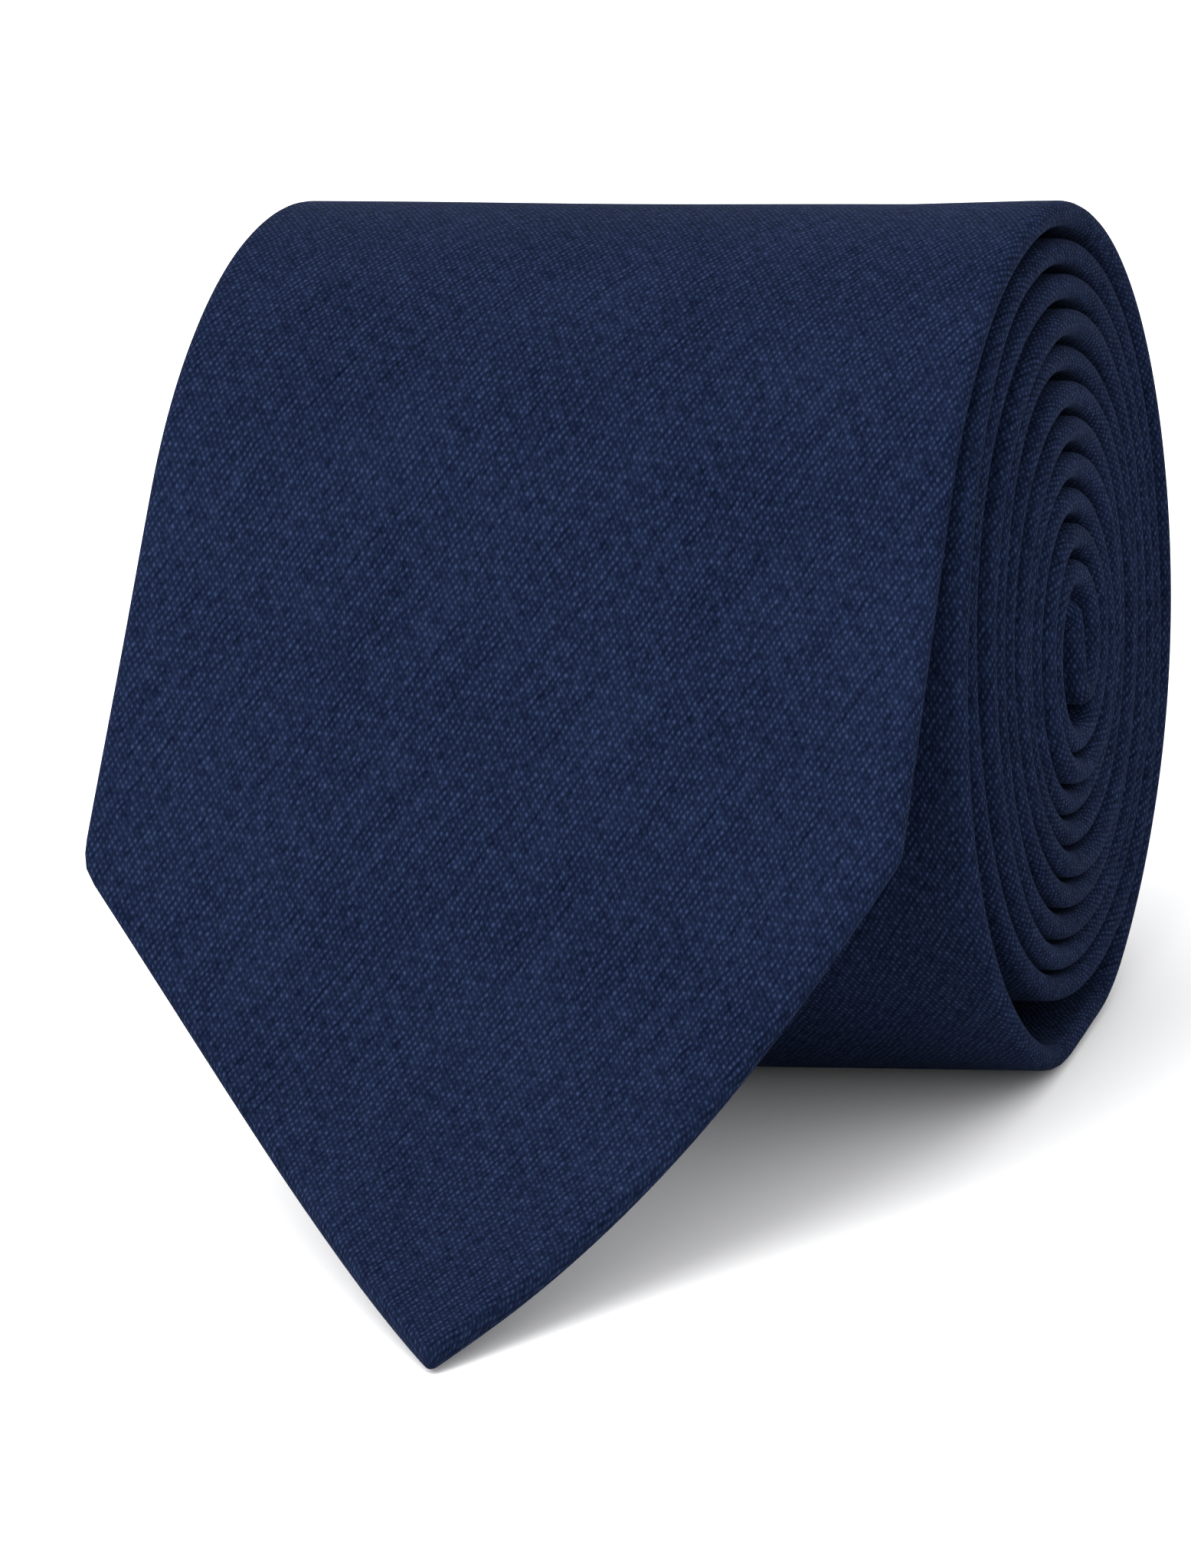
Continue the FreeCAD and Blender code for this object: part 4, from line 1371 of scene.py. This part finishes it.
@dataclass
class Blade:
    """The blade in front of the roll: shell, interlining, tipping, hem and tack."""

    maker: TieMaker
    interlining_start: float = 8.0 * MM
    interlining_columns: int = 22
    under_flap: float = 5.0 * MM
    side_room: float = 2.0 * MM
    narrowest: float = 0.5 * MM
    lining_rounding: float = 0.2 * MM
    stitch_length: float = 2.0 * MM
    stitch_step: float = 8.0 * MM
    stitch_slant: float = 32.0
    least_opening: float = 1.5 * MM
    stitch_depth: float = 0.35

    def build(self) -> None:
        """Build the lower and the upper part of every layer."""
        maker = self.maker
        hinges = maker.hinges
        cut = hinges.lower_cut
        top = hinges.upper_cut
        start = maker.shell.window_start()
        end = maker.shell.tack_at
        lower = hinges.lower()
        upper = hinges.upper()
        maker.shell_part("blade_point_shell", (0.0, cut),
                         ["shell_blade_point", "shell_blade_drape"], lower, Held.DRAPED)
        maker.shell_part("blade_drape_shell", (cut, top),
                         ["shell_blade_drape", "shell_blade_rolled"], upper, Held.DRAPED)
        maker.interlining_part("blade_point_interlining", (self.interlining_start, cut),
                               ["interlining_point", "interlining_drape"], lower,
                               Held.DRAPED, self.interlining_columns)
        maker.interlining_part("blade_drape_interlining", (cut, top),
                               ["interlining_drape", "interlining_wide_rolled"], upper,
                               Held.DRAPED, self.interlining_columns)
        self._tipping("blade_point_tipping", (start - self.under_flap, cut), lower,
                      ["tipping_blade_point", "tipping_blade_drape"])
        self._tipping("blade_drape_tipping", (cut, end), upper, ["tipping_blade_drape"])
        self._hem_stitches("blade_point_hem_stitches",
                           (start + self.stitch_length, cut - self.stitch_length), lower,
                           ["hem_stitches_point", "hem_stitches_drape"])
        self._hem_stitches("blade_drape_hem_stitches",
                           (cut + self.stitch_length, end - self.stitch_step), upper,
                           ["hem_stitches_drape"])
        BarTack(maker).build("blade_bar_tack", end, upper, "bar_tack_blade")

    def _tipping(self, name: str, span: tuple[float, float], motion: Bends,
                 nodes: Sequence[str]) -> None:
        """One part of the lining that shows in the opening of the back."""
        maker = self.maker
        outline = maker.builder.outline

        def edges(distance: np.ndarray) -> tuple[np.ndarray, np.ndarray]:
            """Left and right edge, tucked under the flaps."""
            middle = outline.middle(distance)
            half = np.maximum(maker.shell.opening(distance), 0.0) + self.under_flap
            half = np.minimum(half, outline.half(distance) - self.side_room)
            half = np.maximum(half, self.narrowest)
            return middle - half, middle + half

        made = maker.builder.band(name, span, edges, maker.layers.lining_heights(),
                                  rounding=self.lining_rounding)
        left, right = edges(maker.builder.line.stations(*span))
        maker.sheet(made, (float((right - left).max()), span[1] - span[0]), Slot.LINING,
                    nodes, motion, Held.LAID)

    def _hem_stitches(self, name: str, span: tuple[float, float], motion: Bends,
                      nodes: Sequence[str]) -> None:
        """Slanting stitches that hold the hem to the lining, down both flaps."""
        maker = self.maker
        height = maker.layers.back() + maker.layers.shell * self.stitch_depth
        places = []
        count = int((span[1] - span[0]) / self.stitch_step)
        for index in range(count + 1):
            distance = span[0] + index * self.stitch_step
            opening = float(maker.shell.opening(distance))
            if opening < self.least_opening:
                continue
            middle = maker.builder.outline.middle_at(distance)
            for side in (-1, 1):
                place = maker.builder.frame_at(distance, middle + side * opening, height)
                slant = Matrix.Rotation(side * math.radians(self.stitch_slant), 4, "Z")
                places.append(place @ slant @ FACE_DOWN)
        maker.thread(maker.stitchery.row(name, self.stitch_length, places), nodes, motion)


@dataclass
class RolledStrip:
    """The strip inside the roll: three panels, their seams, interlinings and tail."""

    maker: TieMaker
    first_seam: float = 760.0 * MM
    second_seam: float = 1070.0 * MM
    interlining_join: float = 880.0 * MM
    interlining_gap: float = 0.1 * MM
    columns: int = 14
    tail_tack: float = 50.0 * MM
    tail_margin: float = 4.0 * MM
    lining_rounding: float = 0.2 * MM
    seam_step: float = 4.0 * MM
    seam_height: float = 0.10 * MM
    thread_height: float = 0.13 * MM
    stitch_length: float = 2.0 * MM

    def build(self) -> None:
        """Build the panels, what they hold and what joins them."""
        maker = self.maker
        start = maker.hinges.upper_cut
        end = maker.builder.line.length
        corner = end - maker.builder.outline.tail_point
        tack = end - self.tail_tack
        inside = Rides(Body.ROLL)
        for name, span, node in (
                ("rolled_blade_panel", (start, self.first_seam), "shell_blade_rolled"),
                ("neck_panel", (self.first_seam, self.second_seam), "shell_neck_panel"),
                ("tail_panel", (self.second_seam, end), "shell_tail_panel")):
            maker.shell_part(name, span, [node], inside, Held.FOLDED)
        join = self.interlining_join
        for name, span, node in (
                ("wide_interlining", (start, join), "interlining_wide_rolled"),
                ("narrow_interlining", (join + self.interlining_gap, corner),
                 "interlining_narrow")):
            maker.interlining_part(name, span, [node], inside, Held.FOLDED, self.columns)
        self._tail_tipping((tack + self.tail_margin, corner))
        self._seam("blade_neck_seam", self.first_seam, "seam_stitches_blade_neck")
        self._seam("neck_tail_seam", self.second_seam, "seam_stitches_neck_tail")
        height = maker.layers.back() + maker.layers.shell + self.thread_height
        thread = maker.stitchery.long_thread("back_seam_thread", (start, tack), height)
        maker.thread(thread, ["slip_stitch"], inside)
        BarTack(maker).build("tail_bar_tack", tack, inside, "bar_tack_tail")

    def _tail_tipping(self, span: tuple[float, float]) -> None:
        """Lining inside the tail's end."""
        maker = self.maker
        made = maker.builder.band("tail_tipping", span, maker.inset_edges(self.tail_margin),
                                  maker.layers.lining_heights(), columns=self.columns,
                                  rounding=self.lining_rounding)
        maker.sheet(made, (maker.widest(span), span[1] - span[0]), Slot.LINING,
                    ["tipping_tail"], Rides(Body.ROLL), Held.FOLDED)

    def _seam(self, name: str, seam: float, node: str) -> None:
        """Row of stitches that joins two panels, inside the strip."""
        maker = self.maker
        middle = maker.builder.outline.middle_at(seam)
        half = float(maker.builder.outline.half(np.array([seam]))[0]) - 2 * self.seam_step
        height = maker.layers.back() + maker.layers.shell + self.seam_height
        count = int(half / self.seam_step)
        places = [maker.builder.frame_at(seam, middle + index * self.seam_step, height)
                  for index in range(-count, count + 1)]
        maker.thread(maker.stitchery.row(name, self.stitch_length, places), [node],
                     Rides(Body.ROLL))


@dataclass(frozen=True)
class Patch:
    """A flat patch sewn to the back of the strip."""

    name: str
    node: str
    at: float
    width: float
    span: float
    thickness: float
    slot: Slot
    rounding: float


@dataclass
class BackPieces:
    """What is sewn to the back of the blade inside the roll: keeper and blank labels."""

    maker: TieMaker
    keeper: Patch = Patch("doubled_keeper", "keeper_loop", at=222.0 * MM, width=20.0 * MM,
                          span=46.0 * MM, thickness=0.8 * MM, slot=Slot.SHELL,
                          rounding=0.4 * MM)
    label: Patch = Patch("blank_tape_label", "blank_label", at=262.0 * MM, width=28.0 * MM,
                         span=42.0 * MM, thickness=0.3 * MM, slot=Slot.LABEL,
                         rounding=0.15 * MM)
    care: Patch = Patch("care_tape_label", "care_label", at=239.5 * MM, width=13.0 * MM,
                        span=16.0 * MM, thickness=0.3 * MM, slot=Slot.LABEL,
                        rounding=0.15 * MM)
    air: float = 0.06 * MM
    stitch_length: float = 2.0 * MM
    end_stitches: int = 5
    stitch_inset: float = 0.4 * MM

    def build(self) -> None:
        """Build the keeper, the blank label, the care label and their stitches."""
        for patch in (self.keeper, self.label, self.care):
            self._patch(patch)
        self._end_stitches("keeper_end_stitches", "keeper_stitches", self.keeper)
        self._end_stitches("label_end_stitches", "label_stitches", self.label)

    def _patch(self, patch: Patch) -> None:
        """The patch itself."""
        maker = self.maker

        def edges(distance: np.ndarray) -> tuple[np.ndarray, np.ndarray]:
            """Left and right end of the patch."""
            middle = maker.builder.outline.middle(distance)
            return middle - patch.span / 2, middle + patch.span / 2

        outer = maker.layers.back() - self.air
        made = maker.builder.band(patch.name, (patch.at - patch.width / 2,
                                               patch.at + patch.width / 2), edges,
                                  (outer, outer - patch.thickness), rounding=patch.rounding)
        maker.sheet(made, (patch.span, patch.width), patch.slot, [patch.node],
                    Rides(Body.ROLL), Held.LAID)

    def _end_stitches(self, name: str, node: str, patch: Patch) -> None:
        """Stitches down both ends of a patch."""
        maker = self.maker
        middle = maker.builder.outline.middle_at(patch.at)
        height = maker.layers.back() - self.air - patch.thickness
        reach = patch.span / 2 - self.stitch_inset
        places = []
        for side in (-1, 1):
            for index in range(self.end_stitches):
                share = (index + 0.5) / self.end_stitches - 0.5
                place = maker.builder.frame_at(patch.at + share * patch.width,
                                               middle + side * reach, height)
                places.append(place @ FACE_DOWN)
        maker.thread(maker.stitchery.row(name, self.stitch_length, places), [node],
                     Rides(Body.ROLL))


# ---------------------------------------------------------------------------------------
# Studio
# ---------------------------------------------------------------------------------------


@dataclass
class Studio:
    """Camera, floor and light. Angles are in degrees and the sensor is in millimetres."""

    azimuth: float = 16.54
    elevation: float = 16.783
    roll: float = -4.1
    distance: float = 1.7164
    lens: float = 470.5
    sensor: float = 36.0
    clip: tuple = (0.1, 50.0)
    aim: tuple = (0.000971, -0.01919, 0.028493)
    slide: tuple = (-0.00337, -0.00029)
    floor_size: float = 9.0
    sky: float = 1.5
    key_watts: float = 11.0
    key_size: float = 1.0
    key_at: tuple = (-0.32, -0.52, 0.82)

    def build(self) -> None:
        """Set up the whole studio."""
        self._camera()
        self._floor()
        self._lights()

    def _camera(self) -> None:
        """A long lens, a little to the right of the blade and above it."""
        a, e, roll = (math.radians(v) for v in (self.azimuth, self.elevation, self.roll))
        right = Vector((math.cos(a), math.sin(a), 0.0))
        back = Vector((math.sin(a) * math.cos(e), -math.cos(a) * math.cos(e), math.sin(e)))
        up = back.cross(right)
        turned = right * math.cos(roll) + up * math.sin(roll)
        upright = up * math.cos(roll) - right * math.sin(roll)
        where = (Vector(self.aim) + back * self.distance + turned * self.slide[0]
                 + upright * self.slide[1])
        data = bpy.data.cameras.new("camera")
        data.lens = self.lens
        data.sensor_width = self.sensor
        data.clip_start, data.clip_end = self.clip
        camera = place_in_scene("camera", data)
        turn = Matrix((turned, upright, back)).transposed().to_4x4()
        camera.matrix_world = Matrix.Translation(where) @ turn
        bpy.context.scene.camera = camera

    def _floor(self) -> None:
        """A plain pale floor."""
        deselect_all()
        bpy.ops.mesh.primitive_plane_add(size=self.floor_size, location=(0, 0, 0))
        floor = bpy.context.active_object
        floor.name = "floor"
        floor.data.materials.append(PaleFloor().build())
        floor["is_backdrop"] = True
        deselect_all()

    def _lights(self) -> None:
        """A white sky and one broad soft light from the upper left."""
        world = bpy.data.worlds.new("sky")
        world.use_nodes = True
        backdrop = world.node_tree.nodes["Background"]
        backdrop.inputs[0].default_value = (1.0, 1.0, 1.0, 1.0)
        backdrop.inputs[1].default_value = self.sky
        bpy.context.scene.world = world
        data = bpy.data.lights.new("broad_light", "AREA")
        data.shape = "DISK"
        data.size = self.key_size
        data.energy = self.key_watts
        light = place_in_scene("broad_light", data)
        light.location = self.key_at
        light.rotation_euler = Vector(self.key_at).to_track_quat("Z", "Y").to_euler()
        bpy.context.scene.view_settings.view_transform = "Standard"


def plain(bounds: Sequence[Sequence[float]]) -> list[list[float]]:
    """Corners of a box as plain lists of numbers."""
    return [[float(v) for v in corner] for corner in bounds]


def main() -> list[list[float]]:
    """Build the tie and the studio in order.

    Returns:
        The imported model's box, kept from before anything was built.
    """
    logging.basicConfig(level=logging.INFO, format="%(name)s: %(message)s")
    packed = plain(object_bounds())
    line = FoldLine()
    outline = Outline(line)
    builder = ClothBuilder(line, outline, Wander(line))
    maker = TieMaker(builder, Wardrobe(), Hinges(line), Layers(line), Shell(builder),
                     Stitchery(builder))
    LOG.info("strip: %.1f mm long", line.length / MM)
    for part in (Blade(maker), RolledStrip(maker), BackPieces(maker), Studio()):
        part.build()
        LOG.info("%s is done", type(part).__name__)
    return packed


if __name__ == "__main__":
    box_before = main()
